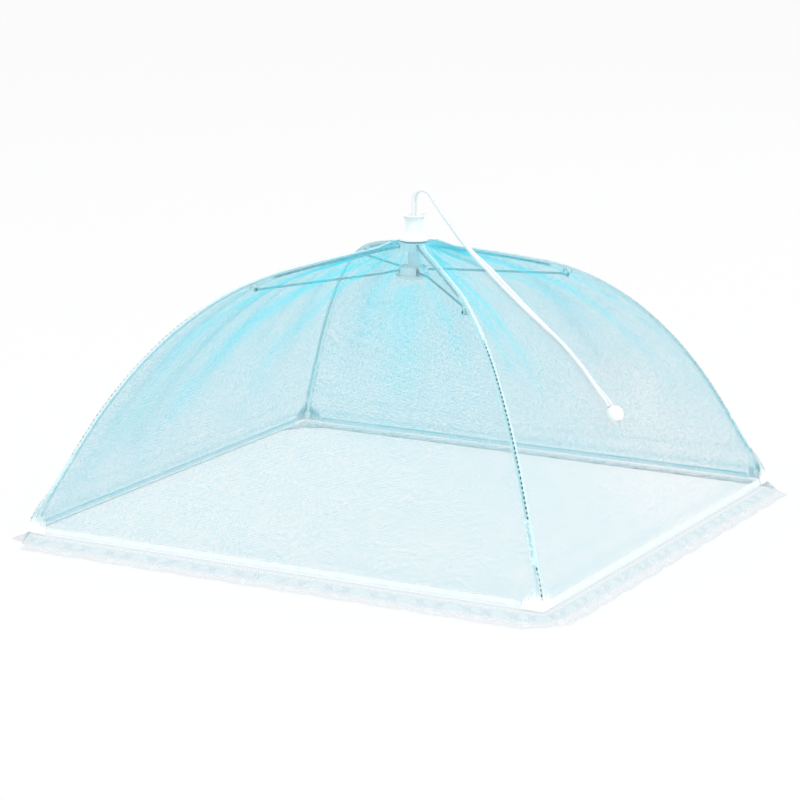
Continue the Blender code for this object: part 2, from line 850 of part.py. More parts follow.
def build():
    """Build the whole cover."""
    clear_scene()
    plastic = make_material("white_plastic", (0.93, 0.94, 0.94), 0.35)
    steel = make_material("rib_steel", (0.20, 0.30, 0.33), 0.4, metallic=0.9)
    net = make_material("aqua_net", (0.55, 0.86, 0.93), 0.9, alpha=0.55)
    binding = make_material("aqua_binding", (0.60, 0.88, 0.94), 0.85)
    white = make_material("white_fabric", (0.93, 0.95, 0.96), 0.9)
    cotton = make_material("white_cord", (0.95, 0.95, 0.95), 0.8)
    make_hub(plastic, steel)
    make_finial(plastic)
    make_runner(plastic, steel)
    meshes = {
        "rib": rib_mesh(),
        "clip": clip_mesh(),
        "pin": pin_mesh(),
        "tip": tip_mesh(),
        "stretcher": stretcher_mesh(),
    }
    for place, bearing in corner_bearings.items():
        make_corner(place, bearing, meshes, plastic, steel)
    make_fabric(net, binding, white)
    make_cord(cotton, plastic)
    fold_motion()


build()
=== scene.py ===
import bpy
import bmesh
from math import atan2, cos, exp, pi, radians, sin, sqrt
from mathutils import Matrix, Vector, noise


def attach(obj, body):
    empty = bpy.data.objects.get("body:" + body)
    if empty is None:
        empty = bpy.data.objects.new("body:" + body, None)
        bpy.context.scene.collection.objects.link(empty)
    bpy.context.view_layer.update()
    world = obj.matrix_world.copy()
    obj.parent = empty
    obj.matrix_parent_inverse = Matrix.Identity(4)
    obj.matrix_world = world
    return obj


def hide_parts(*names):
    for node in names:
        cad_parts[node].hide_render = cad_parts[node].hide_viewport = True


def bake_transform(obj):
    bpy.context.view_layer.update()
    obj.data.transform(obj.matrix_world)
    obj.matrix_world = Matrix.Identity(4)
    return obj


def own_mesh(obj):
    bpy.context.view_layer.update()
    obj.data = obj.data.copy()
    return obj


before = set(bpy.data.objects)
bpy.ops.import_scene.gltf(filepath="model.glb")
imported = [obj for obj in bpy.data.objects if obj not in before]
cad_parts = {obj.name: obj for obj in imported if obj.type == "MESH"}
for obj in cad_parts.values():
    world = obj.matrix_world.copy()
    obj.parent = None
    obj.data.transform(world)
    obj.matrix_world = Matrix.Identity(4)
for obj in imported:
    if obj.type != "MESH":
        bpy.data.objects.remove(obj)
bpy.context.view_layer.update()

corners = {"front_right": radians(-45), "back_right": radians(45),
           "back_left": radians(135), "front_left": radians(225)}
sides = {"right": 0.0, "back": radians(90), "left": radians(180), "front": radians(270)}
ribOfHalf = {"right": ("front_right", "back_right"), "back": ("back_right", "back_left"),
             "left": ("back_left", "front_left"), "front": ("front_left", "front_right")}


# shader nodes: each helper returns what comes out of its node

def feed(tree, socket, value):  # a link, a colour or a number
    if isinstance(value, bpy.types.NodeSocket):
        tree.links.new(value, socket)
    else:
        socket.default_value = (*value, 1) if socket.type == "RGBA" else value


def addNode(tree, kind, values=None, output=0, **settings):
    item = tree.nodes.new(kind)
    for key, value in settings.items():
        setattr(item, key, value)
    for key, value in (values or {}).items():
        feed(tree, item.inputs[key], value)
    return item.outputs[output]


def sums(tree, operation, a, b=0.0, c=0.0):
    return addNode(tree, "ShaderNodeMath", {0: a, 1: b, 2: c}, operation=operation)


def times(tree, a, b):
    return sums(tree, "MULTIPLY", a, b)


def scaled(tree, value, factor, added):
    return sums(tree, "MULTIPLY_ADD", value, factor, added)


def less(tree, a, b):
    return sums(tree, "SUBTRACT", a, b)


def absolute(tree, value):
    return sums(tree, "ABSOLUTE", value)


def most(tree, value, *others):  # the largest of them
    for other in others:
        value = sums(tree, "MAXIMUM", value, other)
    return value


def vectors(tree, operation, a, b=(0, 0, 0)):
    return addNode(tree, "ShaderNodeVectorMath", {0: a, 1: b}, operation=operation)


def dotted(tree, a, b):
    return addNode(tree, "ShaderNodeVectorMath", {0: a, 1: b}, "Value", operation="DOT_PRODUCT")


def ramp(tree, value, low, high, start=0.0, end=1.0):
    return addNode(tree, "ShaderNodeMapRange",
                   {"Value": value, "From Min": low, "From Max": high, "To Min": start, "To Max": end},
                   interpolation_type="SMOOTHSTEP")


def mixColour(tree, share, a, b):
    return addNode(tree, "ShaderNodeMix", {0: share, 6: a, 7: b}, 2, data_type="RGBA")


def speckle(tree, vector, scale, detail=2.0, output=0):
    return addNode(tree, "ShaderNodeTexNoise", {"Vector": vector, "Scale": scale, "Detail": detail}, output)


def cloudy(tree, vector, scale, detail, a, b):  # two colours in soft patches
    return mixColour(tree, ramp(tree, speckle(tree, vector, scale, detail), 0.3, 0.7), a, b)


def ownUv(tree):
    return addNode(tree, "ShaderNodeUVMap", uv_map="UVMap")


def ownPlace(tree):
    return addNode(tree, "ShaderNodeTexCoord", output="Object")


def parts(tree, vector):
    item = tree.nodes.new("ShaderNodeSeparateXYZ")
    tree.links.new(vector, item.inputs[0])
    return item.outputs[0], item.outputs[1]


def bump(tree, height, distance, strength):
    return addNode(tree, "ShaderNodeBump", {"Height": height, "Distance": distance, "Strength": strength})


def unevened(tree, vector, amount):  # the same place, pushed about a little so that cells differ
    push = vectors(tree, "SUBTRACT", speckle(tree, vector, 620, 1, 1), (0.5, 0.5, 0.5))
    push = addNode(tree, "ShaderNodeVectorMath", {0: push, "Scale": amount * 2}, operation="SCALE")
    return vectors(tree, "ADD", vector, push)


def hexEdge(tree, vector, pitch):  # distance to the nearest thread of a six-sided net, in pitches
    row = 0.8660254  # half a row's height
    place = addNode(tree, "ShaderNodeVectorMath", {0: vector, "Scale": 1 / pitch}, operation="SCALE")
    flat = []
    for shift in ((0, 0, 0), (0.5, row, 0)):
        cell = {0: vectors(tree, "ADD", place, shift), 1: (0.5, row, 1), 2: (-0.5, -row, -1)}
        flat.append(vectors(tree, "MULTIPLY", addNode(tree, "ShaderNodeVectorMath", cell, operation="WRAP"),
                            (1, 1, 0)))
    nearer = sums(tree, "LESS_THAN", dotted(tree, flat[0], flat[0]), dotted(tree, flat[1], flat[1]))
    spot = addNode(tree, "ShaderNodeMix", {0: nearer, 4: flat[1], 5: flat[0]}, 1, data_type="VECTOR")
    cell = vectors(tree, "ABSOLUTE", spot)
    return less(tree, 0.5, most(tree, dotted(tree, cell, (0.5, row, 0)), dotted(tree, cell, (1, 0, 0))))


def startMaterial(name):
    material = bpy.data.materials.new(name)
    material.use_nodes = True
    return material, material.node_tree


def finishMaterial(material, values):  # into the Principled shader's sockets
    tree = material.node_tree
    for key, value in values.items():
        feed(tree, tree.nodes["Principled BSDF"].inputs[key], value)
    return material


# meshes

def pick(*pieces):  # only these are selected, and the first is active
    bpy.ops.object.select_all(action="DESELECT")
    for piece in pieces:
        piece.select_set(True)
    if pieces:
        bpy.context.view_layer.objects.active = pieces[0]


def applyPlace():  # place, turn and size go into the mesh
    bpy.ops.object.transform_apply(location=True, rotation=True, scale=True)


def settle(piece, name, material, smooth):
    pick(piece)
    applyPlace()
    piece.name = name
    piece.data.name = name
    piece.data.materials.clear()
    piece.data.materials.append(material)
    bpy.ops.object.shade_smooth_by_angle(angle=radians(smooth))


def applyModifier(piece, kind, **values):
    pick(piece)
    modifier = piece.modifiers.new(kind.lower(), kind)
    for key, value in values.items():
        setattr(modifier, key, value)
    bpy.ops.object.modifier_apply(modifier=modifier.name)


def bevel(piece, width, segments, angle=40):
    applyModifier(piece, "BEVEL", width=width, segments=segments, limit_method="ANGLE",
                  angle_limit=radians(angle))


def cutAway(piece, cutter):
    applyModifier(piece, "BOOLEAN", operation="DIFFERENCE", object=cutter, solver="EXACT")


def joined(*pieces):
    pick(*pieces)
    bpy.ops.object.join()
    return bpy.context.object


def copied(piece):
    other = piece.copy()
    other.data = piece.data.copy()
    bpy.context.collection.objects.link(other)
    return other


def spread(piece, stem, body, node):  # a copy at each corner, in place of the CAD's
    copies = {}
    for corner, bearing in corners.items():
        copy = copied(piece)
        copy.name = copy.data.name = stem + corner
        copy.data.transform(Matrix.Rotation(bearing, 4, "Z"))
        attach(copy, body + corner)
        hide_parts(node + corner)
        copies[corner] = copy
    bpy.data.objects.remove(piece)
    return copies


def placed(piece, x, z, slope):
    piece.data.transform(Matrix.Translation((x, 0, z)) @ Matrix.Rotation(-slope, 4, "Y"))
    return piece


def box(size, place):
    pick()
    bpy.ops.mesh.primitive_cube_add(size=1)
    piece = bpy.context.object
    piece.scale = size
    piece.location = place
    applyPlace()
    return piece


def turnedPiece(profile, segments):  # a ring drawn out and scaled along (radius, height) points
    pick()
    radius, height = profile[0]
    bpy.ops.mesh.primitive_circle_add(vertices=segments, radius=radius, location=(0, 0, height))
    piece = bpy.context.object
    bpy.ops.object.mode_set(mode="EDIT")
    bpy.ops.mesh.select_mode(type="VERT")
    bpy.ops.mesh.select_all(action="SELECT")
    for (r, z), (after, top) in zip(profile, profile[1:]):
        bpy.ops.mesh.extrude_region_move(TRANSFORM_OT_translate={"value": (0, 0, top - z)})
        bpy.ops.transform.resize(value=(after / r, after / r, 1), center_override=(0, 0, top))
    bpy.ops.mesh.select_all(action="SELECT")
    bpy.ops.mesh.remove_doubles(threshold=2e-6)
    bpy.ops.mesh.normals_make_consistent(inside=False)
    bpy.ops.object.mode_set(mode="OBJECT")
    applyPlace()
    return piece


def rounded(profile, radius, steps=3):  # the closed outline with its corners rounded
    points = [Vector(p) for p in profile]
    done = []
    for i, point in enumerate(points):
        before, after = points[i - 1] - point, points[(i + 1) % len(points)] - point
        reach = min(radius, before.length * 0.45, after.length * 0.45)
        a, b = point + before.normalized() * reach, point + after.normalized() * reach
        for step in range(steps + 1):
            t = step / steps
            done.append(a.lerp(point, t).lerp(point.lerp(b, t), t))
    return [(p.x, p.y) for p in done]


def wire(points, radius):  # a round wire along points
    data = bpy.data.curves.new("wire", "CURVE")
    data.dimensions = "3D"
    data.bevel_depth = radius
    data.bevel_resolution = 4
    data.use_fill_caps = True
    spline = data.splines.new("POLY")
    spline.points.add(len(points) - 1)
    for spot, point in zip(spline.points, points):
        spot.co = (*point, 1)
    piece = bpy.data.objects.new("wire", data)
    bpy.context.collection.objects.link(piece)
    pick(piece)
    bpy.ops.object.convert(target="MESH")
    return bpy.context.object


def grid(columns, rows, place, uv):  # a sheet whose points and UVs follow from (u, v), each 0 to 1
    pick()
    bpy.ops.mesh.primitive_grid_add(x_subdivisions=columns, y_subdivisions=rows, size=1, calc_uvs=True)
    piece = bpy.context.object
    data = piece.data
    spots = [(v.co.x + 0.5, v.co.y + 0.5) for v in data.vertices]
    marks = data.uv_layers[0]
    marks.name = "UVMap"
    for loop in data.loops:
        marks.data[loop.index].uv = uv(*spots[loop.vertex_index])
    for vertex, (u, v) in zip(data.vertices, spots):
        vertex.co = place(u, v)
    data.update()
    return piece


def faceOut(piece):  # a sheet's faces away from the cover's inside
    middle = Vector((0, 0, 0.06))
    if sum((f.center - middle).dot(f.normal) * f.area for f in piece.data.polygons) < 0:
        piece.data.flip_normals()


# camera, world, lamps and table

studio = {
    "lens": 145.516, "cameraPlace": (1.12090, -2.18857, 0.65142),
    "turn": 0.477061617, "pitch": 1.34784375, "roll": 0.0116536404,
    "worldLight": 0.775, "background": (1.0, 1.0, 1.0),
    "lamps": {"key_lamp": ((-1.1, -1.3, 1.9), 1.6, 16.4),  # place, size, power
              "fill_lamp": ((1.9, -0.7, 1.5), 1.8, 21.0),
              "back_lamp": ((0.3, 2.0, 1.6), 1.8, 8.0)},
    "aim": (0, 0, 0.1),
    "tableSize": 14.0, "tableDrop": 0.0003, "tableColour": (0.86, 0.87, 0.88),
    "shadowShare": 0.12,  # how much of the table's own light and shadow the camera sees
}


def seenRays(tree):  # 1 for what the camera sees, also through clear things and in gloss
    path = tree.nodes.new("ShaderNodeLightPath").outputs
    return most(tree, path["Is Camera Ray"], path["Is Glossy Ray"], path["Is Transmission Ray"])


def makeCamera():
    data = bpy.data.cameras.new("camera")
    camera = bpy.data.objects.new("camera", data)
    bpy.context.collection.objects.link(camera)
    data.sensor_width = 36
    data.lens = studio["lens"]
    data.clip_end = 50
    turn = (Matrix.Rotation(studio["turn"], 4, "Z") @ Matrix.Rotation(studio["pitch"], 4, "X")
            @ Matrix.Rotation(studio["roll"], 4, "Z"))
    camera.matrix_world = Matrix.Translation(studio["cameraPlace"]) @ turn
    bpy.context.scene.camera = camera


def makeLights():
    scene = bpy.context.scene
    scene.view_settings.view_transform = "Standard"
    scene.world = bpy.data.worlds.new("studio")
    scene.world.use_nodes = True
    tree = scene.world.node_tree
    glow = tree.nodes["Background"]
    feed(tree, glow.inputs["Color"], (1, 1, 1))
    feed(tree, glow.inputs["Strength"], studio["worldLight"])
    seen = addNode(tree, "ShaderNodeBackground", {"Color": studio["background"], "Strength": 1.0})
    mix = addNode(tree, "ShaderNodeMixShader", {0: seenRays(tree), 1: glow.outputs[0], 2: seen})
    tree.links.new(mix, tree.nodes["World Output"].inputs["Surface"])
    for name, (place, width, power) in studio["lamps"].items():
        bpy.ops.object.light_add(type="AREA", location=place)
        lamp = bpy.context.object
        lamp.name = name
        lamp.data.size = width
        lamp.data.energy = power
        aim = Vector(studio["aim"]) - Vector(place)
        lamp.rotation_euler = aim.to_track_quat("-Z", "Y").to_euler()


def makeTable():
    pick()
    bpy.ops.mesh.primitive_plane_add(size=studio["tableSize"], location=(0, 0, -studio["tableDrop"]))
    table = bpy.context.object
    table.name = "table_top"
    material, tree = startMaterial("pale_table")
    finishMaterial(material, {"Base Color": studio["tableColour"], "Roughness": 0.9,
                              "Specular IOR Level": 0.1})
    lit = tree.nodes["Principled BSDF"].outputs[0]
    clear = addNode(tree, "ShaderNodeBsdfTransparent")
    share = times(tree, seenRays(tree), 1 - studio["shadowShare"])
    mix = addNode(tree, "ShaderNodeMixShader", {0: share, 1: lit, 2: clear})
    tree.links.new(mix, tree.nodes["Material Output"].inputs["Surface"])
    table.data.materials.append(material)


makeCamera()
makeLights()
makeTable()
print("studio done")


# the cover's lines, as in the frame

cover = {
    "side": 0.430, "crown": 0.2186, "gap": 0.0003,
    "ribRadius": 0.0010, "stretcherRadius": 0.0009, "ringWire": 0.0006, "ringRadius": 0.0086,
    "hubRadius": 0.01175, "shaftRadius": 0.0044, "hingeDrop": 0.0030, "runnerDrop": 0.0190,
    "finialShoulder": 0.0155, "clipShare": 0.3255, "clipDrop": 0.0034, "tipRadius": 0.0024,
    "netThickness": 0.0006, "netSag": 0.0070, "foldHeight": 0.0016, "foldCount": 3,
    "mergeLength": 0.0240, "stations": 18, "slack": 0.0005, "hemRun": 0.0062,
    "pocketHeight": 0.0260, "slopeSpan": 0.0070, "frameSteps": 400,
}
ribShape = [(0.171, 0.955), (0.319, 0.9135), (0.408, 0.8806), (0.503, 0.8243), (0.604, 0.7347),
            (0.682, 0.643), (0.744, 0.5535), (0.809, 0.4415), (0.871, 0.3134), (0.935, 0.1715),
            (0.9775, 0.0590)]
gap = cover["gap"]
halfDiagonal = cover["side"] / sqrt(2)
hubTop = cover["crown"] + gap * 3
deckHeight = hubTop + gap
hingeHeight = hubTop - cover["hingeDrop"]
runnerRing = hingeHeight - cover["runnerDrop"]
boreRadius = cover["shaftRadius"] + gap
finialBase = deckHeight + cover["netThickness"] + gap
shaftTop = finialBase + cover["finialShoulder"] - gap


def smoothLine(points, steps):
    points = [Vector(p) for p in points]
    padded = [points[0] * 2 - points[1], *points, points[-1] * 2 - points[-2]]
    line = []
    for a, b, c, d in zip(padded, padded[1:], padded[2:], padded[3:]):
        for step in range(steps):
            t = step / steps
            bend = (2 * a - 5 * b + 4 * c - d) * t * t + (3 * b - a - 3 * c + d) * t**3
            line.append((2 * b + (c - a) * t + bend) / 2)
    line.append(points[-1])
    return line


def lineLengths(line):
    lengths = [0.0]
    for here, after in zip(line, line[1:]):
        lengths.append(lengths[-1] + (after - here).length)
    return lengths


def pointAt(line, lengths, distance):
    i = 0
    while i < len(line) - 2 and lengths[i + 1] < distance:
        i += 1
    direction = (line[i + 1] - line[i]).normalized()
    return line[i] + direction * (distance - lengths[i]), direction


ribCorners = [Vector((cover["ringRadius"], hingeHeight))]
ribCorners += [Vector((halfDiagonal * r, cover["crown"] * z)) for r, z in ribShape]
ribLine = smoothLine(ribCorners, 12)
ribLengths = lineLengths(ribLine)
ribLength = ribLengths[-1]
clipPoint, clipDirection = pointAt(ribLine, ribLengths, ribLength * cover["clipShare"])
clipNormal = Vector((-clipDirection.y, clipDirection.x))
pivotPoint = clipPoint - clipNormal * cover["clipDrop"]
runnerHinge = Vector((cover["ringRadius"], runnerRing))
stretcherRun = pivotPoint - runnerHinge
stretcherSlope = atan2(stretcherRun.y, stretcherRun.x)


def canopyLine():
    hole = (boreRadius + gap) * sqrt(2)
    line = [Vector((hole, deckHeight)), Vector(((cover["hubRadius"] + gap * 2) * sqrt(2), deckHeight))]
    end = ribLength + cover["hemRun"]
    for step in range(cover["stations"]):
        share = step / (cover["stations"] - 1)
        distance = cover["mergeLength"] + (end - cover["mergeLength"]) * share
        swell = min(max((distance - ribLength) / cover["pocketHeight"] + 1.5, 0), 1)
        radius = cover["ribRadius"] + (cover["tipRadius"] - cover["ribRadius"]) * swell
        offset = (radius + gap) * sqrt(2) + cover["slack"]
        spot, direction = pointAt(ribLine, ribLengths, distance)
        line.append(spot + Vector((-direction.y, direction.x)) * offset)
    return line


canopy = smoothLine(canopyLine(), 6)
canopy = [p for i, p in enumerate(canopy) if i == 0 or p.x > canopy[i - 1].x - 1e-6]
canopyLengths = lineLengths(canopy)
canopyLength = canopyLengths[-1]
deckLength = (cover["hubRadius"] + gap * 2 - boreRadius - gap) * sqrt(2)


def sideFrame(distance):  # place and normal of the canopy, seen square to a side
    point, _ = pointAt(canopy, canopyLengths, distance)
    low, _ = pointAt(canopy, canopyLengths, max(distance - cover["slopeSpan"], 0))
    high, _ = pointAt(canopy, canopyLengths, distance + cover["slopeSpan"])
    direction = high - low
    across = Vector((direction.x / sqrt(2), direction.y)).normalized()
    return Vector((point.x / sqrt(2), point.y)), Vector((-across.y, across.x))


frameSteps = cover["frameSteps"]
frames = [sideFrame(canopyLength * i / frameSteps) for i in range(frameSteps + 1)]


def frameAt(distance):  # the same from a table, quicker
    spot = min(max(distance / canopyLength * frameSteps, 0), frameSteps - 0.001)
    i = int(spot)
    (a, m), (b, n) = frames[i], frames[i + 1]
    t = spot - i
    return a.lerp(b, t), m.lerp(n, t).normalized()


# finishes

plasticLook = {"shade": (0.88, 0.91, 0.92), "light": (0.93, 0.95, 0.95), "roughness": (0.26, 0.40),
               "letThrough": 0.25, "letThroughReach": 0.0008}


def makeWhitePlastic():
    look = plasticLook
    material, tree = startMaterial("white_moulded_plastic")
    place = ownPlace(tree)
    return finishMaterial(material, {
        "Base Color": cloudy(tree, place, 90, 3, look["shade"], look["light"]),
        "Roughness": ramp(tree, speckle(tree, place, 400), 0.3, 0.7, *look["roughness"]),
        "Normal": bump(tree, speckle(tree, place, 1500), 0.00003, 0.5),
        "Subsurface Weight": look["letThrough"], "Subsurface Scale": 1.0,
        "Subsurface Radius": (look["letThroughReach"],) * 3})


wireLook = {"stretcher": ((0.13, 0.26, 0.29), (0.26, 0.42, 0.46)),
            "rib": ((0.10, 0.22, 0.25), (0.22, 0.38, 0.42)),
            "rivet": ((0.02, 0.05, 0.06), (0.05, 0.09, 0.10)),
            "roughness": (0.30, 0.48), "metal": 0.75, "coveredMetal": 0.3,
            "channelFrom": (0.108, 0.116), "pale": (0.80, 0.93, 0.95)}


def makeSteel(name, dark, light, inChannel=False):
    look = wireLook
    material, tree = startMaterial(name)
    place = ownPlace(tree)
    colour = mixColour(tree, ramp(tree, speckle(tree, place, 260, 4), 0.35, 0.7), dark, light)
    if inChannel:  # past its clip a rib runs in the net's sewn channel; there its colour is painted paler and less metallic, as painted light from the channel's net in front of it
        flat = vectors(tree, "MULTIPLY", place, (1, 1, 0))
        reach = sums(tree, "SQRT", dotted(tree, flat, flat))
        colour = mixColour(tree, ramp(tree, reach, *look["channelFrom"]), colour, look["pale"])
    return finishMaterial(material, {
        "Base Color": colour, "Metallic": look["coveredMetal"] if inChannel else look["metal"],
        "Roughness": ramp(tree, speckle(tree, place, 700), 0.3, 0.7, *look["roughness"]),
        "Normal": bump(tree, speckle(tree, place, 2500), 0.00002, 0.5)})


netLook = {"pitch": 0.00125, "thread": 0.097, "gathered": 0.20, "uneven": 0.0006,
           "light": (0.26, 0.62, 0.72), "deep": (0.07, 0.70, 0.84)}


def netEdge(tree, uv):
    return hexEdge(tree, unevened(tree, uv, netLook["uneven"]), netLook["pitch"])


def makeNet():
    material, tree = startMaterial("aqua_tulle_net")
    uv = ownUv(tree)
    fold = addNode(tree, "ShaderNodeAttribute", output="Fac", attribute_name="foldShade")
    patchy = less(tree, speckle(tree, uv, 38, 3), 0.5)
    width = scaled(tree, fold, netLook["gathered"], netLook["thread"])
    width = scaled(tree, patchy, 0.05, width)
    width = scaled(tree, less(tree, speckle(tree, uv, 420), 0.5), 0.22, width)
    deep = ramp(tree, scaled(tree, patchy, 0.35, fold), -0.1, 0.65)
    return finishMaterial(material, {
        "Base Color": mixColour(tree, deep, netLook["light"], netLook["deep"]),
        "Alpha": ramp(tree, less(tree, netEdge(tree, uv), width), -0.03, 0.03, 1.0, 0.0),
        "Roughness": 0.65, "Specular IOR Level": 0.25, "Sheen Weight": 0.2})


bindingLook = {
    "shade": (0.54, 0.88, 0.93), "light": (0.70, 0.94, 0.96), "white": (0.80, 0.96, 0.97),
    "dark": (0.03, 0.10, 0.12), "beat": 0.0038, "rowHalf": 0.0006, "edge": (0.0008, 0.0026),
    "stitchesFrom": (0.100, 0.125), "dottedFrom": (0.150, 0.172),  # along the seam, in metres
    "coveredFrom": (0.3030, 0.3060), "coveredTo": (0.3385, 0.3400),
}


def seamDots(tree, uv, along, across):  # the rib showing between the seam's stitches
    half = bindingLook["rowHalf"]
    uneven = times(tree, speckle(tree, uv, 70), 1.2)
    beat = sums(tree, "FRACT", scaled(tree, along, 1 / bindingLook["beat"], uneven))
    off = absolute(tree, less(tree, beat, 0.5))
    wide = ramp(tree, off, 0.15, 0.30, half, half * 0.3)
    row = ramp(tree, less(tree, absolute(tree, across), wide), -0.0001, 0.0002, 1.0, 0.0)
    return times(tree, row, ramp(tree, off, 0.15, 0.30, 1.0, 0.22)), beat


def makeBinding():
    look = bindingLook
    material, tree = startMaterial("aqua_seam_binding")
    uv = ownUv(tree)
    along, across = parts(tree, uv)
    side = absolute(tree, across)
    inRow = ramp(tree, side, look["rowHalf"], look["rowHalf"] + 0.0003, 1.0, 0.0)
    lower = ramp(tree, along, *look["dottedFrom"])
    dots, beat = seamDots(tree, uv, along, across)
    covered = times(tree, ramp(tree, along, *look["coveredFrom"]),
                    ramp(tree, along, *look["coveredTo"], 1.0, 0.0))
    dots = times(tree, dots, times(tree, lower, less(tree, 1.0, covered)))
    stitch = times(tree, ramp(tree, along, *look["stitchesFrom"]), ramp(tree, beat, 0.60, 0.75, 1.0, 0.0))
    stitch = times(tree, times(tree, inRow, less(tree, 1.0, lower)), stitch)
    # painted highlight: an opaque light strip along one side of the seam, weaker near the hub; the white
    # rucks near the pocket are added to it
    start, end = look["edge"]
    lit = ramp(tree, across, start - 0.0003, start)
    lit = times(tree, lit, ramp(tree, across, end, end + 0.0008, 1.0, 0.0))
    lit = times(tree, lit, ramp(tree, along, 0.03, 0.08, 0.35, 0.6))
    rucks = ramp(tree, speckle(tree, uv, 330), 0.42, 0.62, 0.0, 0.7)
    lit = most(tree, lit, times(tree, covered, rucks))
    white = most(tree, stitch, lit)
    colour = mixColour(tree, white, cloudy(tree, uv, 160, 3, look["shade"], look["light"]), look["white"])
    width = ramp(tree, side, 0.0012, 0.0036, 0.06, 0.03)
    threads = ramp(tree, less(tree, netEdge(tree, uv), width), -0.03, 0.03, 1.0, 0.0)
    return finishMaterial(material, {
        "Base Color": mixColour(tree, ramp(tree, dots, 0.0, 0.3), colour, look["dark"]),
        "Alpha": most(tree, threads, white, dots), "Roughness": 0.7, "Sheen Weight": 0.2,
        "Normal": bump(tree, stitch, 0.0002, 0.6)})


tapeLook = {"shade": (0.79, 0.89, 0.93), "light": (0.87, 0.94, 0.96), "thread": (0.98, 0.98, 0.98),
            "weave": 0.0008, "stitch": 0.0034, "rowHalf": 0.00035, "turnLine": (0.42, 0.86, 0.93),
            "insideShade": (0.84, 0.96, 0.98), "insideLight": (0.92, 0.98, 0.99)}


# the hem tape's inside and bottom faces: the cyan line along the top is the turned net; the rest is painted
# near-white, lighter than the tape's outside, as painted light in place of the light that comes through the
# thin tape
def makeHemInside():
    look = tapeLook
    material, tree = startMaterial("turned_hem_and_painted_light")
    uv = ownUv(tree)
    line = times(tree, ramp(tree, parts(tree, uv)[1], -0.0015, -0.0006, 1.0, 0.0),
                 ramp(tree, speckle(tree, uv, 14, 1), 0.40, 0.60, 0.25, 1.0))
    colour = cloudy(tree, uv, 300, 3, look["insideShade"], look["insideLight"])
    return finishMaterial(material, {
        "Base Color": mixColour(tree, line, colour, look["turnLine"]), "Roughness": 0.8})


def makeTape():
    look = tapeLook
    material, tree = startMaterial("white_hem_tape")
    uv = ownUv(tree)
    along, across = parts(tree, uv)
    weave = times(tree, sums(tree, "SINE", times(tree, along, 2 * pi / look["weave"])),
                  sums(tree, "SINE", times(tree, across, 2 * pi / look["weave"])))
    beat = sums(tree, "FRACT", times(tree, along, 1 / look["stitch"]))
    inRow = sums(tree, "LESS_THAN", absolute(tree, across), look["rowHalf"])
    stitch = times(tree, inRow, sums(tree, "LESS_THAN", beat, 0.6))
    colour = cloudy(tree, uv, 120, 3, look["shade"], look["light"])
    return finishMaterial(material, {
        "Base Color": mixColour(tree, stitch, colour, look["thread"]),
        "Roughness": 0.75, "Sheen Weight": 0.3,
        "Normal": bump(tree, scaled(tree, stitch, 2.5, weave), 0.00012, 0.4)})


patchLook = {"net": (0.74, 0.93, 0.96), "white": (0.93, 0.95, 0.97), "hemFrom": (0.0205, 0.0215),
             "gathersFrom": (0.014, 0.0285), "dotsTo": (0.0165, 0.0185)}


def makeGathered():  # the corner's patch: net at its top, closing to white gathers and the hem
    look = patchLook
    material, tree = startMaterial("white_gathered_patch")
    uv = ownUv(tree)
    down, across = parts(tree, uv)
    ruck = speckle(tree, vectors(tree, "MULTIPLY", uv, (0.35, 1, 1)), 420, 3)
    close = ramp(tree, scaled(tree, ruck, 0.012, down), *look["gathersFrom"])
    hem = ramp(tree, down, *look["hemFrom"])
    thinner = ramp(tree, absolute(tree, across), 0.007, 0.018, 0.0, 0.30)
    width = most(tree, less(tree, scaled(tree, close, 0.46, 0.07), thinner), times(tree, hem, 0.6))
    threads = ramp(tree, less(tree, netEdge(tree, uv), width), -0.04, 0.04, 1.0, 0.0)
    dots = times(tree, seamDots(tree, uv, down, across)[0], ramp(tree, down, *look["dotsTo"], 1.0, 0.0))
    colour = mixColour(tree, most(tree, close, hem), look["net"], look["white"])
    return finishMaterial(material, {
        "Base Color": mixColour(tree, ramp(tree, dots, 0.0, 0.3), colour, bindingLook["dark"]),
        "Alpha": most(tree, threads, dots), "Roughness": 0.75, "Sheen Weight": 0.3,
        "Normal": bump(tree, ruck, 0.0006, 0.7)})


laceLook = {
    "repeat": 0.036, "width": 0.0225, "pitch": 0.0013, "dotStep": 0.0045, "holeStep": 0.006,
    "nearDim": (0.30, 0.53, 0.61), "nearPale": (0.46, 0.67, 0.74),  # by the tape the net shows through
    "farDim": (0.64, 0.69, 0.73), "farPale": (0.81, 0.83, 0.86),
    "opening": (0.46, 0.70, 0.75), "solid": (0.84, 0.86, 0.89),
    # centre and half sizes, across and out from the tape
    "hole": (0, 0.0082, 0.0066, 0.0034), "eye": (0, 0.0066, 0.0036, 0.0022),
    "dot": (0, 0.0172, 0.0013, 0.0011), "rowHole": (0, 0.0030, 0.0021, 0.0009),
    "flowerOut": 0.0142, "petals": 6, "petal": (0.0010, 0.0036), "heart": 0.0012,
    "vineOut": 0.0135, "vineWave": 0.0012, "vineHalf": 0.0006, "heading": 0.0008, "border": (0.0182, 0.0196),
}


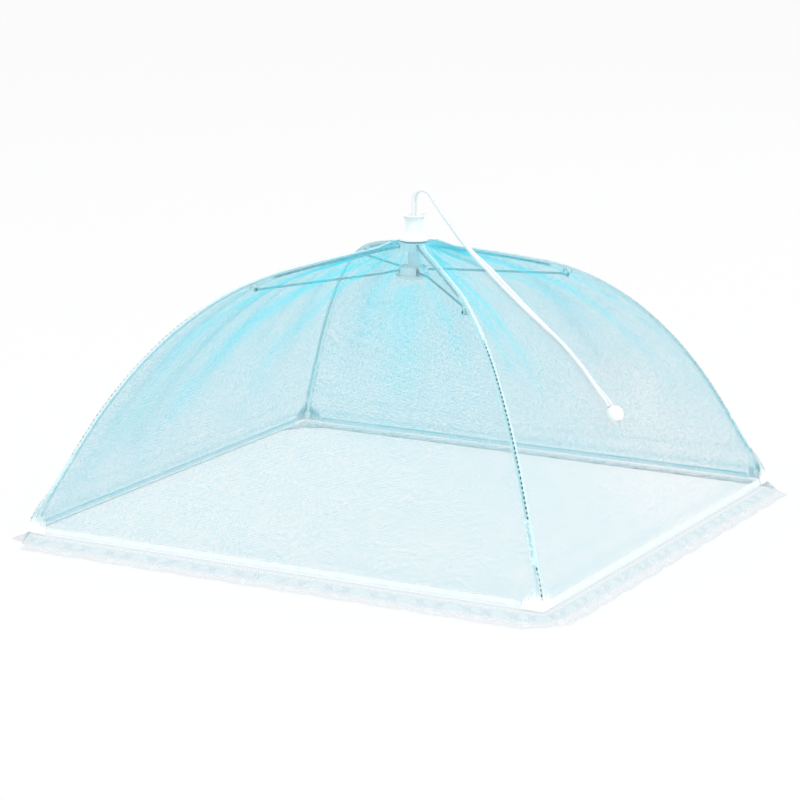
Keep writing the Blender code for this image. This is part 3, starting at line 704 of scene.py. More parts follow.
def makeLace():
    look = laceLook
    material, tree = startMaterial("white_lace")
    uv = ownUv(tree)  # metres: along the strip from its middle, and out from the tape
    along, out = parts(tree, uv)
    step = look["repeat"]

    def cell(width):  # place within a repeat of that width
        return times(tree, less(tree, sums(tree, "FRACT", times(tree, along, 1 / width)), 0.5), width)

    def root(a, b):
        return sums(tree, "SQRT", sums(tree, "ADD", times(tree, a, a), times(tree, b, b)))

    def oval(x, centreX, centreY, halfX, halfY):  # 1 at its edge
        return root(sums(tree, "DIVIDE", less(tree, x, centreX), halfX),
                    sums(tree, "DIVIDE", less(tree, out, centreY), halfY))

    def below(value, limit, soft=0.06):
        return ramp(tree, value, limit - soft, limit + soft, 1.0, 0.0)

    def ring(value, limit, half):
        return below(absolute(tree, less(tree, value, limit)), half)

    x = cell(step)
    halfX = less(tree, absolute(tree, x), step / 2)
    grain = speckle(tree, uv, 500)
    threads = less(tree, hexEdge(tree, uv, look["pitch"]), scaled(tree, grain, 0.18, 0.085))
    threads = ramp(tree, threads, -0.04, 0.04, 1.0, 0.0)
    rough = times(tree, less(tree, speckle(tree, uv, 260), 0.5), 0.9)
    hole = sums(tree, "ADD", oval(x, *look["hole"]), rough)
    eye = sums(tree, "ADD", oval(halfX, *look["eye"]), rough)
    # a flower between two openings, its petals from the angle round its centre
    flowerY = less(tree, out, look["flowerOut"])
    angle = sums(tree, "ARCTAN2", flowerY, halfX)
    petals = scaled(tree, sums(tree, "COSINE", times(tree, angle, look["petals"])), *look["petal"])
    reach = root(halfX, flowerY)
    flower = below(sums(tree, "DIVIDE", reach, petals), 1.0, 0.1)
    heart = ring(sums(tree, "DIVIDE", reach, look["heart"]), 1.0, 0.25)
    leafLine = times(tree, sums(tree, "SINE", times(tree, along, 2 * pi / step * 2)), look["vineWave"])
    leafLine = sums(tree, "ADD", leafLine, look["vineOut"])
    vine = ring(sums(tree, "DIVIDE", less(tree, out, leafLine), look["vineHalf"]), 0.0, 0.9)
    dots = oval(cell(look["dotStep"]), *look["dot"])
    solid = most(tree, flower, most(tree, ring(hole, 1.12, 0.14), ring(eye, 1.15, 0.2)))
    solid = most(tree, solid, most(tree, vine, below(dots, 1.0, 0.15)))
    heading = below(sums(tree, "DIVIDE", out, look["heading"]), 1.0)
    solid = most(tree, solid, most(tree, heading, ramp(tree, out, *look["border"])))
    inside = most(tree, below(hole, 1.0), below(eye, 1.0))
    row = below(oval(cell(look["holeStep"]), *look["rowHole"]), 1.0, 0.15)
    fine = less(tree, hexEdge(tree, uv, netLook["pitch"]), times(tree, grain, 0.26))
    fine = ramp(tree, fine, -0.03, 0.03, 1.0, 0.0)
    thin = times(tree, threads, scaled(tree, row, -0.4, 1.0))
    thin = times(tree, thin, ramp(tree, out, 0.002, 0.008, 0.45, 1.0))
    thin = addNode(tree, "ShaderNodeMix", {0: inside, 2: thin, 3: fine})
    outer = ramp(tree, out, 0.006, 0.015)
    colour = mixColour(tree, ramp(tree, grain, 0.35, 0.7),
                       mixColour(tree, outer, look["nearDim"], look["farDim"]),
                       mixColour(tree, outer, look["nearPale"], look["farPale"]))
    colour = mixColour(tree, inside, colour, look["opening"])
    return finishMaterial(material, {
        "Base Color": mixColour(tree, times(tree, solid, 0.6), colour, look["solid"]),
        "Alpha": most(tree, thin, times(tree, solid, less(tree, 1.0, times(tree, heart, 0.9)))),
        "Roughness": 0.75, "Sheen Weight": 0.3,
        "Normal": bump(tree, scaled(tree, solid, 1.5, threads), 0.00015, 0.6)})


cordLook = {"shade": (0.72, 0.80, 0.83), "light": (0.93, 0.95, 0.95), "lay": 0.0016, "threads": 8}


def makeCordFinish():
    look = cordLook
    material, tree = startMaterial("white_braided_cord")
    along, around = parts(tree, ownUv(tree))
    a, b = (sums(tree, "SINE", scaled(tree, along, 2 * pi / look["lay"],
                                      times(tree, around, hand * look["threads"] * pi))) for hand in (1, -1))
    braid = most(tree, a, b)
    # painted shade: the grooves between the braid's threads take the darker colour
    return finishMaterial(material, {
        "Base Color": mixColour(tree, ramp(tree, braid, -0.6, 0.5), look["shade"], look["light"]),
        "Roughness": 0.8, "Sheen Weight": 0.3, "Normal": bump(tree, braid, 0.00015, 0.8)})


whitePlastic = makeWhitePlastic()
steelWire = makeSteel("blue_grey_steel_wire", *wireLook["stretcher"])
ribWire = makeSteel("blue_grey_rib_wire", *wireLook["rib"], True)
# the rivets' own dark steel, also laid on the clip's ends as painted shade
rivetSteelAndPaintedShade = makeSteel("dark_rivet_steel_and_painted_shade", *wireLook["rivet"])
aquaNet = makeNet()
aquaBinding = makeBinding()
whiteTape = makeTape()
whiteGathered = makeGathered()
turnedHemAndPaintedLight = makeHemInside()
whiteLace = makeLace()
whiteCord = makeCordFinish()
print("finishes done")


# pull cord and bead

pullCord = {
    "route": [
        (0.0000, 0.0000, 0.2366), (0.0000, 0.0000, 0.2422), (0.0000, 0.0000, 0.2479),
        (0.0000, 0.0000, 0.2535), (0.0012, 0.0002, 0.2574), (0.0045, 0.0008, 0.2599),
        (0.0086, 0.0015, 0.2601), (0.0120, 0.0022, 0.2579), (0.0182, 0.0033, 0.2488),
        (0.0262, 0.0050, 0.2376), (0.0350, 0.0080, 0.2250), (0.0430, 0.0100, 0.2155),
        (0.0515, 0.0095, 0.2083), (0.0623, 0.0040, 0.2032), (0.0724, -0.0035, 0.1990),
        (0.0905, -0.0135, 0.1897), (0.1057, -0.0170, 0.1793), (0.1199, -0.0150, 0.1671),
        (0.1318, -0.0100, 0.1550), (0.1465, -0.0050, 0.1375), (0.1570, -0.0026, 0.1232),
        (0.1630, -0.0034, 0.1176), (0.1676, -0.0048, 0.1140), (0.1712, -0.0060, 0.1096)],
    "radius": 0.00145, "spacing": 0.0034, "rings": 330, "relax": 12,
    "flats": 16, "lay": 0.0064, "braidDepth": 0.06,
    "swingFrom": (0.012, 0, 0.245), "swingTo": (0.085, 0, 0.19),
    "beadRadius": 0.0070, "beadLength": 0.0130, "beadBore": 0.0021, "beadFlats": 9, "beadRows": 7,
}


def braidedStrand(name, line):
    flats = pullCord["flats"]
    data = bpy.data.meshes.new(name)
    shape = bmesh.new()
    marks = shape.loops.layers.uv.new("UVMap")
    lengths = lineLengths(line)
    up = Vector((0, 1, 0))
    rings = []
    for i, spot in enumerate(line):
        direction = (line[min(i + 1, len(line) - 1)] - line[max(i - 1, 0)]).normalized()
        up = (up - direction * up.dot(direction)).normalized()
        side = direction.cross(up)
        ring = []
        for j in range(flats):
            angle = 2 * pi * j / flats
            turn = 4 * pi * lengths[i] / pullCord["lay"]
            thread = max(cos(4 * angle + turn), cos(4 * angle - turn))
            out = (up * cos(angle) + side * sin(angle)) * pullCord["radius"]
            ring.append(shape.verts.new(spot + out * (1 + pullCord["braidDepth"] * (thread - 1))))
        rings.append(ring)
    for i in range(len(rings) - 1):
        for j in range(flats):
            k = (j + 1) % flats
            face = shape.faces.new((rings[i][j], rings[i][k], rings[i + 1][k], rings[i + 1][j]))
            for loop, (a, b) in zip(face.loops, ((i, j), (i, j + 1), (i + 1, j + 1), (i + 1, j))):
                loop[marks].uv = (lengths[a], b / flats)
    for ring in (rings[0][::-1], rings[-1]):
        bmesh.ops.poke(shape, faces=[shape.faces.new(ring)])
    bmesh.ops.recalc_face_normals(shape, faces=shape.faces)
    shape.to_mesh(data)
    shape.free()
    piece = bpy.data.objects.new(name, data)
    bpy.context.collection.objects.link(piece)
    settle(piece, name, whiteCord, 50)
    return piece


def makeBead(spot, direction):
    radius, bore, half = pullCord["beadRadius"], pullCord["beadBore"], pullCord["beadLength"] / 2
    profile = []
    for i in range(pullCord["beadRows"] + 1):
        angle = pi * i / pullCord["beadRows"] - pi / 2
        profile.append((max(radius * cos(angle) ** 0.7, bore), half * sin(angle)))
    profile += [(bore, half * 0.9), (bore, -half * 0.9), profile[0]]
    bead = turnedPiece(profile, pullCord["beadFlats"] * 2)
    bevel(bead, 0.0005, 2, 15)
    bead.rotation_mode = "QUATERNION"
    bead.rotation_quaternion = direction.to_track_quat("Z", "Y")
    bead.location = spot + direction * (half + gap)
    settle(bead, "pull_cord_bead", whitePlastic, 20)
    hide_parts("cord_bead")
    return bead


def makeCord():
    count = pullCord["rings"]
    fine = smoothLine(pullCord["route"], 12)
    lengths = lineLengths(fine)
    even = [pointAt(fine, lengths, lengths[-1] * i / count)[0] for i in range(count + 1)]
    for _ in range(pullCord["relax"]):  # rounds the arch off
        inner = [(a + b * 2 + c) / 4 for a, b, c in zip(even, even[1:], even[2:])]
        even = [even[0], *inner, even[-1]]
    lengths = lineLengths(even)
    middle = [pointAt(even, lengths, lengths[-1] * i / count) for i in range(count + 1)]
    strands = []
    for name, hand in (("front", -1), ("back", 1)):
        line = []
        across = Vector((0, 1, 0))
        for spot, direction in middle:
            flat = Vector((direction.x, direction.y, 0))
            wanted = Vector((0, 1, 0))
            if flat.length > abs(direction.z) / 4:
                wanted = Vector((-flat.y, flat.x, 0)).normalized()
            across = across.lerp(wanted, 0.2).normalized()
            line.append(spot + across * (hand * pullCord["spacing"] / 2))
        strand = braidedStrand("pull_cord_" + name, line)
        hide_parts("cord_strand_" + name)
        strands.append((strand, line))
    bead = makeBead(*middle[-1])
    for strand, line in strands:
        lineLengths(line)[-1]
    for piece in (strands[0][0], strands[1][0], bead):
        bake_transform(piece)


makeCord()
print("pull cord done")


# net panels

net = {"columns": 44, "rows": 120, "cut": (0.215, 0.333), "cutArea": 0.0425, "foldShare": 0.2,
       "clearOfRib": 0.0030, "pleats": 9, "pleatDepth": 0.0011, "pleatReach": 0.22}
# each fold: centre near the hub and further down (-1 to 1), width, depth, from and to (shares), shade
netFolds = {
    "front": [(-0.55, -0.72, 0.10, 0.0026, 0.02, 0.85, 0.75), (-0.30, -0.38, 0.09, 0.0022, 0.02, 0.70, 0.6),
              (-0.80, -0.90, 0.06, 0.0016, 0.05, 0.95, 0.6), (0.10, 0.16, 0.08, 0.0020, 0.02, 0.45, 0.4),
              (0.45, 0.40, 0.40, 0.0008, 0.17, 0.75, 0.4), (0.72, 0.86, 0.07, 0.0016, 0.02, 0.60, 0.4)],
    "right": [(-0.86, -0.78, 0.10, 0.0022, 0.01, 0.55, 1.0), (-0.70, -0.55, 0.10, 0.0024, 0.03, 0.62, 0.8),
              (-0.45, -0.30, 0.07, 0.0018, 0.02, 0.35, 0.45), (0.30, 0.45, 0.09, 0.0022, 0.02, 0.60, 0.5),
              (0.60, 0.72, 0.10, 0.0026, 0.02, 0.85, 0.7), (0.85, 0.93, 0.05, 0.0012, 0.05, 0.95, 0.5)],
    "back": [(-0.60, -0.50, 0.10, 0.0026, 0.02, 0.80, 0.6), (-0.15, -0.25, 0.08, 0.0022, 0.02, 0.55, 0.4),
             (0.35, 0.20, 0.10, 0.0024, 0.02, 0.70, 0.5), (0.75, 0.85, 0.08, 0.0018, 0.02, 0.85, 0.6)],
    "left": [(-0.70, -0.62, 0.10, 0.0026, 0.02, 0.85, 0.7), (-0.35, -0.20, 0.09, 0.0024, 0.02, 0.70, 0.6),
             (0.05, 0.20, 0.09, 0.0024, 0.02, 0.80, 0.7), (0.40, 0.55, 0.10, 0.0028, 0.02, 0.90, 0.9),
             (0.75, 0.85, 0.08, 0.0018, 0.02, 0.95, 0.8)],
}
netShade = {
    "hub": {"front": 0.75, "right": 0.75, "back": 0.8, "left": 1.15},
    "gathersFrom": {"front": 0.15},  # else at the hub
    "turned": {"front": 0.06, "right": 0.14, "back": 0.30, "left": 0.28},  # the net turned in at the hem
    "turnedAt": (0.968, 0.93), "tapeFrom": 0.9875, "ribEdge": 0.06,
    # thinner net: across, share, two widths, how much
    "clearing": {"front": (0.50, 0.15, 0.22, 0.07, 0.30), "right": (0.40, 0.75, 0.60, 0.30, 0.28)},
}


def bell(x):
    return exp(-x * x)


def foldAt(side, across, share):  # how deep the net lies there, and how close its threads look
    look = netShade
    depth, shade = 0.0, 0.0
    for near, far, width, deep, start, end, weight in netFolds[side]:
        t = (share - start) / (end - start)
        if not 0 < t < 1:
            continue
        wave = noise.noise(Vector((share * 5, near * 9, 0))) * 0.05
        off = (across - near - (far - near) * t - wave) / width
        fade = min(t / 0.08, 1) * (1 - t) ** 0.7
        ridge = bell(off / (0.7 + 0.6 * t)) * fade
        depth -= deep * ridge
        shade += weight * (ridge * 0.55 + bell(off / 0.35) * 0.45 * fade)
    pleats = (1 - cos(net["pleats"] * pi * across + 2 * sin(share * 20))) / 2
    near = max(1 - share / net["pleatReach"], 0) ** 1.5
    depth -= net["pleatDepth"] * pleats * near * min(share / 0.04, 1)
    near *= min(share / look["gathersFrom"].get(side, 0.001), 1) ** 2
    shade += look["hub"][side] * near * (0.30 + 0.55 * pleats)
    first, second = look["turnedAt"]
    turned = bell((share - first) / 0.006) + 0.6 * bell((share - second + 0.02 * across * across) / 0.005)
    shade += look["turned"][side] * turned + 0.22 * (1 - share) ** 2 - 0.10 * share
    shade -= 0.45 * min(max((share - look["tapeFrom"]) / 0.006, 0), 1)  # cut away behind the hem tape
    if side in look["clearing"]:
        atAcross, atShare, wide, long, weight = look["clearing"][side]
        shade -= weight * bell((across - atAcross) / wide) * bell((share - atShare) / long)
    toRib = 1 - abs(across)
    shade += look["ribEdge"] * max(1 - toRib / 0.04, 0)
    return depth * min(toRib / 0.07, 1), min(shade, 1.0)


def netSpot(side, across, distance, height):
    place, normal = frameAt(distance)
    share = max(distance - deckLength, 0) / (canopyLength - deckLength)
    middle = 1 - across * across
    sag = cover["netSag"] * middle * sin(pi * share)
    rise = min(share * 5, 1) * (1 - share) ** 2
    form = cover["foldHeight"] * middle * rise * (cos(cover["foldCount"] * pi * across) - 1) - sag
    depth, shade = foldAt(side, across, share)
    spot = place + normal * (height + form + depth)
    return Vector((spot.x, across * (spot.x - gap / sqrt(2)), spot.y)), shade


def halfName(stem, side, hand):
    return f"{stem}_{side}_{ribOfHalf[side][hand > 0]}"


def toSide(piece, side):
    piece.data.transform(Matrix.Rotation(sides[side], 4, "Z"))


def rideHalf(piece, side, hand, node):  # it moves with its rib, in place of the CAD's
    corner = ribOfHalf[side][hand > 0]
    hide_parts(node + side)
    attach(piece, "rib_" + corner)
    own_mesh(piece)


def makeNetHalf(side, hand):
    shades = []

    def down(v):  # the rows are closer near the hub
        return canopyLength * (0.15 * v + 0.85 * v**1.15)

    def place(u, v):
        spot, shade = netSpot(side, hand * u, down(v), cover["netThickness"] / 2)
        shades.append(shade)
        return spot

    def uv(u, v):
        return hand * u * frameAt(down(v))[0].x, down(v) * 0.87

    piece = grid(net["columns"], net["rows"], place, uv)
    piece.data.attributes.new("foldShade", "FLOAT", "POINT").data.foreach_set("value", shades)
    toSide(piece, side)
    settle(piece, halfName("net", side, hand), aquaNet, 180)
    faceOut(piece)
    rideHalf(piece, side, hand, "mesh_panel_")
    return piece


netHalves = {(side, hand): makeNetHalf(side, hand) for side in sides for hand in (-1, 1)}
print("net panels done, half area", round(sum(f.area for f in netHalves["front", 1].data.polygons), 4))


# hem tapes and lace

hemTape = {"width": 0.0050, "thickness": 0.0006, "lift": 0.0010, "crown": 0.00015, "pocketHalf": 0.0168,
           "wave": 0.0004, "half": 0.197}
lace = {"reach": 0.0185, "foot": 0.0042, "scallopDepth": 0.0030, "scallops": 12,
        "cut": (0.0225, 0.243), "cutArea": 0.0046, "ruffle": 0.00045, "rufflePitch": 0.018,
        "topDrop": 0.0007, "lift": 0.0004, "least": 0.00025,
        "drawStart": {"front_left": 0.88, "back_right": 0.90},
        "draw": {"front_left": 0.82, "back_right": 0.55}, "usualStart": 0.86, "usualDraw": 0.6}


def makeHemHalf(side, hand):
    def place(u, v):
        spot, normal = frameAt(canopyLength - hemTape["width"] * (1 - v))
        spot = spot + normal * (hemTape["lift"] + hemTape["crown"] * sin(pi * v))
        y = (spot.x - hemTape["pocketHalf"]) * u * hand
        push = hemTape["wave"] * noise.noise(Vector((y * 45, sides[side] * 3, 0)))
        return Vector((spot.x + push * 0.4, y, spot.y + push * 0.3))

    def uv(u, v):
        return u * hemTape["half"] * hand, (v - 0.5) * hemTape["width"]

    piece = grid(110, 6, place, uv)
    toSide(piece, side)
    faceOut(piece)
    applyModifier(piece, "SOLIDIFY", thickness=hemTape["thickness"], offset=0)
    settle(piece, halfName("hem", side, hand), whiteTape, 50)
    piece.data.materials.append(turnedHemAndPaintedLight)
    outward = Matrix.Rotation(sides[side], 3, "Z") @ Vector((1, 0, 0.3))
    # the tape's inner and bottom faces take the inside finish, painted light where they lie in shade
    for face in piece.data.polygons:
        face.material_index = int(face.normal.dot(outward) < -0.5 or face.normal.z < -0.7)
    rideHalf(piece, side, hand, "hem_tape_")
    return piece


def laceOut(share):  # the scalloped edge
    turn = (share + 1) / 2 * lace["scallops"]
    spot = 2 * (turn - int(turn)) - 1 if turn < lace["scallops"] else 1
    return lace["reach"] - lace["scallopDepth"] * (1 - sqrt(max(1 - spot * spot, 0)))


def laceDraw(share, corner):  # drawn in towards the corner, each corner in its own way
    start = lace["drawStart"].get(corner, lace["usualStart"])
    run = max(abs(share) - start, 0) / (1 - start)
    return 1 - lace["draw"].get(corner, lace["usualDraw"]) * run * run * (3 - 2 * run)


def makeLaceHalf(side, hand):
    inner, normal = frameAt(canopyLength)
    inner = inner + normal * (cover["netThickness"] + gap) - Vector((0, gap * 2))
    bend = lace["reach"] - lace["foot"]

    def place(u, v):
        draw = laceDraw(u, ribOfHalf[side][hand > 0])
        reach = laceOut(hand * u) * draw * v
        slope = min(reach / (bend * draw), 1)
        x = inner.x + reach
        y = hand * u * x
        ruffle = (noise.noise(Vector((y * 38, sides[side] * 5, 0)))
                  + 0.8 * sin(y * 2 * pi / lace["rufflePitch"]))
        ruffle *= lace["ruffle"] * sin(pi * min(v, 0.9)) * 0.6 * (1 - slope * 0.7)
        z = (inner.y - lace["topDrop"]) * (1 - slope) + lace["lift"] + ruffle
        return Vector((x, y, max(z, lace["least"])))

    def uv(u, v):
        step = laceLook["repeat"]
        return hand * u * 6 * step + step / 2, v * laceLook["width"] * 0.9

    piece = grid(144, 16, place, uv)
    toSide(piece, side)
    settle(piece, halfName("lace", side, hand), whiteLace, 180)
    if sum(f.normal.z * f.area for f in piece.data.polygons) < 0:
        piece.data.flip_normals()
    rideHalf(piece, side, hand, "lace_trim_")
    return piece


for (side, hand), piece in netHalves.items():
    hem = makeHemHalf(side, hand)
    border = makeLaceHalf(side, hand)
print("hem and lace done, lace half area", round(sum(f.area for f in border.data.polygons), 5))


# seam bindings and corner patches

binding = {"half": 0.0040, "lift": 0.0009, "thickness": 0.0005, "pucker": 0.00025, "waver": 0.06}
patch = {"height": 0.0260, "half": 0.0180, "topHalf": 0.0070, "lift": 0.0015, "thickness": 0.0004,
         "gather": 0.0007, "cut": (0.038, 0.028), "cutArea": 0.00078}


def cornerSpot(distance, sideways, height):  # over a rib along +X, with the fold at the rib rounded
    place, normal = frameAt(distance)
    spot = place + normal * height
    reach = (sqrt(sideways * sideways + 1e-6) - 0.0006) / sqrt(2)
    return Vector((spot.x * sqrt(2) - max(reach, 0), sideways / sqrt(2), spot.y))


def makeBindings():
    start = cover["hubRadius"] + gap * 4
    run = canopyLength - cover["pocketHeight"] - gap - start

    def place(u, v):
        sideways = (2 * u - 1) * binding["half"]
        distance = start + run * v
        pucker = binding["pucker"] * noise.noise(Vector((distance * 260, sideways * 200, 1)))
        sideways *= 1 + binding["waver"] * sin(distance * 900)
        return cornerSpot(distance, sideways, binding["lift"] + pucker)

    def uv(u, v):
        return run * v, (2 * u - 1) * binding["half"]

    piece = grid(10, 240, place, uv)
    faceOut(piece)
    applyModifier(piece, "SOLIDIFY", thickness=binding["thickness"], offset=0)
    settle(piece, "binding", aquaBinding, 60)
    spread(piece, "seam_binding_", "rib_", "seam_tape_")


def makePatches():
    def place(u, v):
        sideways = (2 * u - 1) * (patch["topHalf"] + (patch["half"] - patch["topHalf"]) * v)
        distance = canopyLength - patch["height"] * (1 - v)
        gather = noise.noise(Vector((sideways * 330, distance * 90, 2))) + 0.4 * cos(sideways * 1900)
        gather *= patch["gather"] * (1 - (2 * u - 1) ** 4)
        return cornerSpot(distance, sideways, patch["lift"] + gather)

    def uv(u, v):
        return v * patch["height"], (2 * u - 1) * patch["half"]

    piece = grid(48, 36, place, uv)
    faceOut(piece)
    applyModifier(piece, "SOLIDIFY", thickness=patch["thickness"], offset=0)
    settle(piece, "patch", whiteGathered, 60)
    for corner, copy in spread(piece, "corner_patch_", "rib_", "corner_pocket_").items():
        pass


makeBindings()
makePatches()
print("seams and patches done")


# ribs, clips, rivets, tips and stretchers

ribPart = {"wireStart": 0.0014, "steps": 90, "eyeMajor": 0.00142, "eyeMinor": 0.00048, "eyeWide": 0.0008}
clipPart = {"length": 0.0070, "half": 0.0020, "above": 0.0010, "below": 0.0020,
            "neck": 0.0014, "round": 0.0022, "crimps": (-0.0022, 0.0022),
            "crimpBox": (0.0006, 0.0060, 0.0030), "crimpHigh": 0.0004,
            "crimpLeft": (1.2, 0.6, 0.36, 1), "shadedEndFacing": 0.8}
rivetPart = {"radius": 0.0007, "head": 0.0016, "headHigh": 0.0006}
stretcherPart = {"crankStart": 0.0060, "crankEnd": 0.0180, "steps": 60, "plate": 0.0010,
                 "headSunk": 0.0004, "headHigh": 0.0005}
tipPart = {"length": 0.0080, "wall": 0.0012, "pole": 0.00002}


def eye():  # the flattened loop at a wire's end, round the Y axis
    pick()
    bpy.ops.mesh.primitive_torus_add(major_radius=ribPart["eyeMajor"], minor_radius=ribPart["eyeMinor"],
                                     major_segments=32, minor_segments=10, rotation=(pi / 2, 0, 0))
    loop = bpy.context.object
    loop.scale.z = ribPart["eyeWide"] / ribPart["eyeMinor"]
    applyPlace()
    return loop


def acrossDisc(radius, low, high, x=0.0, z=0.0, edge=0.00015):  # a rounded disc along Y
    pick()
    bpy.ops.mesh.primitive_cylinder_add(vertices=32, radius=radius, depth=high - low, rotation=(pi / 2, 0, 0),
                                        location=(x, (low + high) / 2, z))
    disc = bpy.context.object
    applyPlace()
    bevel(disc, edge, 2)
    return disc


def makeRibs():
    points = []
    for i in range(ribPart["steps"] + 1):
        distance = ribPart["wireStart"] + (ribLength - ribPart["wireStart"]) * i / ribPart["steps"]
        spot, _ = pointAt(ribLine, ribLengths, distance)
        points.append((spot.x, 0, spot.y))
    rib = joined(wire(points, cover["ribRadius"]), placed(eye(), cover["ringRadius"], hingeHeight, 0))
    settle(rib, "rib", ribWire, 40)
    spread(rib, "rib_wire_", "rib_", "rib_")


def makeClips():
    part = clipPart
    half, top, bottom = part["half"], part["above"], -part["below"]
    clip = box((part["length"], half * 2, top - bottom), (0, 0, (top + bottom) / 2))
    bpy.ops.object.mode_set(mode="EDIT")
    bpy.ops.mesh.select_all(action="DESELECT")
    bpy.ops.mesh.select_mode(type="FACE")
    shape = bmesh.from_edit_mesh(clip.data)
    for face in shape.faces:
        face.select_set(face.normal.z < -0.9)
    bmesh.update_edit_mesh(clip.data)
    bpy.ops.mesh.extrude_region_move(TRANSFORM_OT_translate={"value": (0, 0, -part["neck"])})
    bpy.ops.transform.resize(value=(part["round"] * 2 / part["length"], 1, 1),
                             center_override=(0, 0, bottom - part["neck"]))
    bpy.ops.object.mode_set(mode="OBJECT")
    lug = acrossDisc(part["round"], -half, half, 0, -cover["clipDrop"], 0.0003)
    bevel(clip, 0.0006, 3)
    for x in part["crimps"]:  # crimps round the sleeve
        cutter = box(part["crimpBox"], (x, 0, part["crimpHigh"]))
        inner = copied(cutter)
        inner.data.transform(Matrix.Diagonal(part["crimpLeft"]))
        cutAway(cutter, inner)
        cutAway(clip, cutter)
        bpy.data.objects.remove(cutter)
        bpy.data.objects.remove(inner)
    clip = placed(joined(clip, lug), clipPoint.x, clipPoint.y, atan2(clipDirection.y, clipDirection.x))
    settle(clip, "clip", whitePlastic, 35)
    clip.data.materials.append(rivetSteelAndPaintedShade)
    along = Vector((clipDirection.x, 0, clipDirection.y))
    for face in clip.data.polygons:  # painted shade: the clip's ends, and the lug's faces that point the same way, take the dark rivet steel
        face.material_index = int(abs(face.normal.dot(along)) > part["shadedEndFacing"])
    spread(clip, "clip_", "rib_", "rib_clip_")


def makeRivets():
    face = -clipPart["half"] - gap
    shank = acrossDisc(rivetPart["radius"], face, clipPart["half"])
    head = acrossDisc(rivetPart["head"], face - rivetPart["headHigh"], face, edge=0.0003)
    rivet = placed(joined(shank, head), pivotPoint.x, pivotPoint.y, 0)
    settle(rivet, "rivet", rivetSteelAndPaintedShade, 35)
    spread(rivet, "rivet_", "rib_", "clip_rivet_")


def makeTips():
    radius, long, pole = cover["tipRadius"], tipPart["length"], tipPart["pole"]
    bore, floor = cover["ribRadius"] + gap, long - tipPart["wall"]
    profile = [(bore, 0), (radius - gap, 0), (radius, gap)]
    profile += [(radius * cos(pi / 2 * i / 8), long - radius + radius * sin(pi / 2 * i / 8))
                for i in range(8)]
    profile += [(pole, long), (pole, floor), (bore, floor), (bore, 0)]
    tip = turnedPiece(profile, 24)
    tip.data.transform(Matrix.Rotation(pi / 2, 4, "Y"))
    spot, direction = pointAt(ribLine, ribLengths, ribLength - (floor - gap))
    placed(tip, spot.x, spot.y, atan2(direction.y, direction.x))
    settle(tip, "tip", whitePlastic, 35)
    spread(tip, "tip_cap_", "rib_", "rib_tip_")


def makeStretchers():
    part = stretcherPart
    offset = clipPart["half"] + gap * 1.5 + cover["stretcherRadius"]
    long, begin = stretcherRun.length, ribPart["wireStart"]
    points = []
    for i in range(part["steps"] + 1):
        x = begin + (long - clipPart["round"] * 0.65 - begin) * i / part["steps"]
        t = min(max((x - part["crankStart"]) / (part["crankEnd"] - part["crankStart"]), 0), 1)
        points.append((x, offset * t * t * (3 - 2 * t), 0))
    rod = wire(points, cover["stretcherRadius"])
    low = clipPart["half"] + gap
    top = low + part["plate"]
    plate = acrossDisc(clipPart["round"], low, top, long)
    head = acrossDisc(rivetPart["head"], low + part["headSunk"], top + part["headHigh"], long, edge=0.0003)
    rod = placed(joined(rod, eye(), plate, head), runnerHinge.x, runnerHinge.y, stretcherSlope)
    settle(rod, "stretcher", steelWire, 40)
    rod.data.materials.append(rivetSteelAndPaintedShade)
    rod.data.materials.append(whitePlastic)
    for face in rod.data.polygons:
        away = Vector((face.center.x - pivotPoint.x, face.center.z - pivotPoint.y)).length
        if away < rivetPart["head"] * 1.02 and face.center.y > top:
            face.material_index = 1
        elif away < clipPart["round"] * 1.02 and face.center.y > low - gap / 2:
            face.material_index = 2
    spread(rod, "stretcher_wire_", "stretcher_", "stretcher_")


makeRibs()
makeClips()
makeRivets()
makeTips()
makeStretchers()
print("ribs and stretchers done")


# hub, finial, runner and lock shaft

hub = {"height": 0.0066, "deck": 0.0008, "slot": 0.0028, "slotFloor": 0.0063, "edge": 0.0005}
finial = {"height": 0.0201, "flange": 0.0022, "waist": 0.00675, "waistLow": 0.0090, "waistHigh": 0.0130,
          "rim": 0.0106, "lip": 0.0014, "dish": 0.0032, "mouth": 0.0039, "skirtIn": 0.0009, "edge": 0.0005}
runner = {"radius": 0.0115, "head": 0.0065, "above": 0.0027, "flangeRadius": 0.0140, "flange": 0.0020,
          "edge": 0.0005, "shaftBelow": 0.0012, "shaftEdge": 0.0006}


def cutSlots(piece, low, high):
    reach = runner["flangeRadius"] * 2
    for bearing in corners.values():
        cutter = box((reach - hub["slotFloor"], hub["slot"], high - low),
                     ((reach + hub["slotFloor"]) / 2, 0, (low + high) / 2))
        cutter.data.transform(Matrix.Rotation(bearing, 4, "Z"))
        cutAway(piece, cutter)
        bpy.data.objects.remove(cutter)


def dress(piece, name, node, body, slotName, smooth=35):
    settle(piece, name, whitePlastic if slotName == "white_plastic" else steelWire, smooth)
    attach(piece, body)
    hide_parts(node)


def ringWire(name, height, body):
    pick()
    bpy.ops.mesh.primitive_torus_add(major_radius=cover["ringRadius"], minor_radius=cover["ringWire"],
                                     major_segments=72, minor_segments=12, location=(0, 0, height))
    dress(bpy.context.object, name, name + "_wire", body, "rib_steel", 180)


def turnedSoft(profile, edge, lift=0.0):  # turned from an outline whose corners are rounded first
    soft = [(r, z + lift) for r, z in rounded(profile, edge)]
    return turnedPiece(soft + soft[:1], 96)


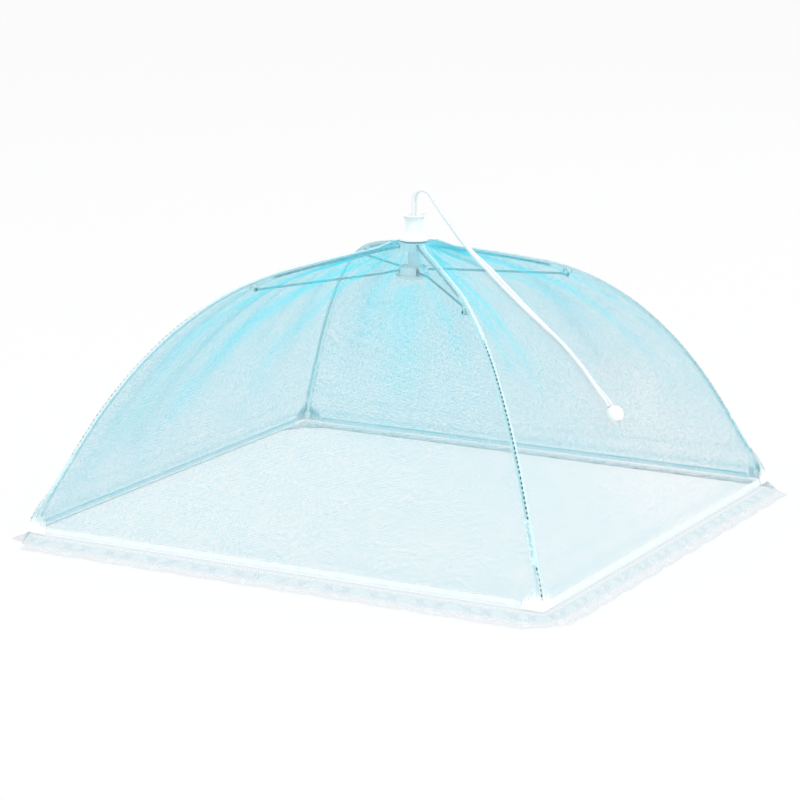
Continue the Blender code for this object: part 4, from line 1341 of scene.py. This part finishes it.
def makeHub():
    top, bottom = hubTop, hubTop - hub["height"]
    groove = cover["ringWire"] + gap
    inner, outer, roof = cover["ringRadius"] - groove, cover["ringRadius"] + groove, hingeHeight + groove
    profile = [(boreRadius, bottom), (inner, bottom), (inner, roof), (outer, roof), (outer, bottom),
               (cover["hubRadius"], bottom), (cover["hubRadius"], top), (boreRadius, top)]
    piece = turnedSoft(profile, hub["edge"])
    cutSlots(piece, bottom - 0.001, top - hub["deck"])
    dress(piece, "cover_hub", "top_hub", "canopy", "white_plastic")
    ringWire("hub_ring", hingeHeight, "canopy")


def makeFinial():
    f = finial
    shoulder = cover["finialShoulder"]
    profile = [(boreRadius, 0.0), (cover["hubRadius"], 0.0), (cover["hubRadius"], f["flange"])]
    skirt = cover["hubRadius"] - f["skirtIn"] - f["waist"]
    for i in range(1, 9):
        angle = pi / 2 * i / 8
        profile.append((f["waist"] + skirt * (1 - sin(angle)),
                        f["flange"] + (f["waistLow"] - f["flange"]) * (1 - cos(angle))))
    flare, wide = f["height"] - f["waistHigh"] - f["lip"] / 2, f["rim"] - f["waist"]
    for i in range(9):
        angle = pi / 2 * i / 8
        profile.append((f["waist"] + wide * (1 - cos(angle)), f["waistHigh"] + flare * sin(angle)))
    profile += [(f["rim"] - f["lip"] / 3, f["height"]), (f["rim"] - f["lip"], f["height"]),
                (f["mouth"] + f["lip"], f["height"] - f["dish"] * 0.8), (f["mouth"], f["height"] - f["dish"]),
                (f["mouth"], shoulder), (boreRadius, shoulder)]
    dress(turnedSoft(profile, f["edge"], finialBase), "spool_finial", "finial", "canopy", "white_plastic", 40)


def makeRunner():
    r = runner
    top = runnerRing + r["above"]
    bottom = top - r["head"]
    low = bottom - r["flange"]
    groove = cover["ringWire"] + gap
    inner, outer, floor = cover["ringRadius"] - groove, cover["ringRadius"] + groove, runnerRing - groove
    profile = [(boreRadius, low), (r["flangeRadius"], low), (r["flangeRadius"], bottom),
               (r["radius"], bottom), (r["radius"], top), (outer, top), (outer, floor),
               (inner, floor), (inner, top), (boreRadius, top)]
    piece = turnedSoft(profile, r["edge"])
    cutSlots(piece, bottom + gap * 2, top + 0.001)
    dress(piece, "slotted_runner", "runner", "runner", "white_plastic")
    ringWire("runner_ring", runnerRing, "runner")
    radius, edge, foot, pole = cover["shaftRadius"], r["shaftEdge"], low - r["shaftBelow"], tipPart["pole"]
    shaft = turnedPiece([(pole, foot), (radius - edge, foot), (radius, foot + edge),
                         (radius, shaftTop - edge), (radius - edge, shaftTop), (pole, shaftTop)], 64)
    bpy.ops.object.mode_set(mode="EDIT")
    bpy.ops.mesh.select_all(action="SELECT")
    bpy.ops.mesh.remove_doubles(threshold=5e-5)
    bpy.ops.object.mode_set(mode="OBJECT")
    dress(shaft, "lock_tube", "lock_shaft", "runner", "white_plastic")


makeHub()
makeFinial()
makeRunner()
print("hub, finial and runner done")
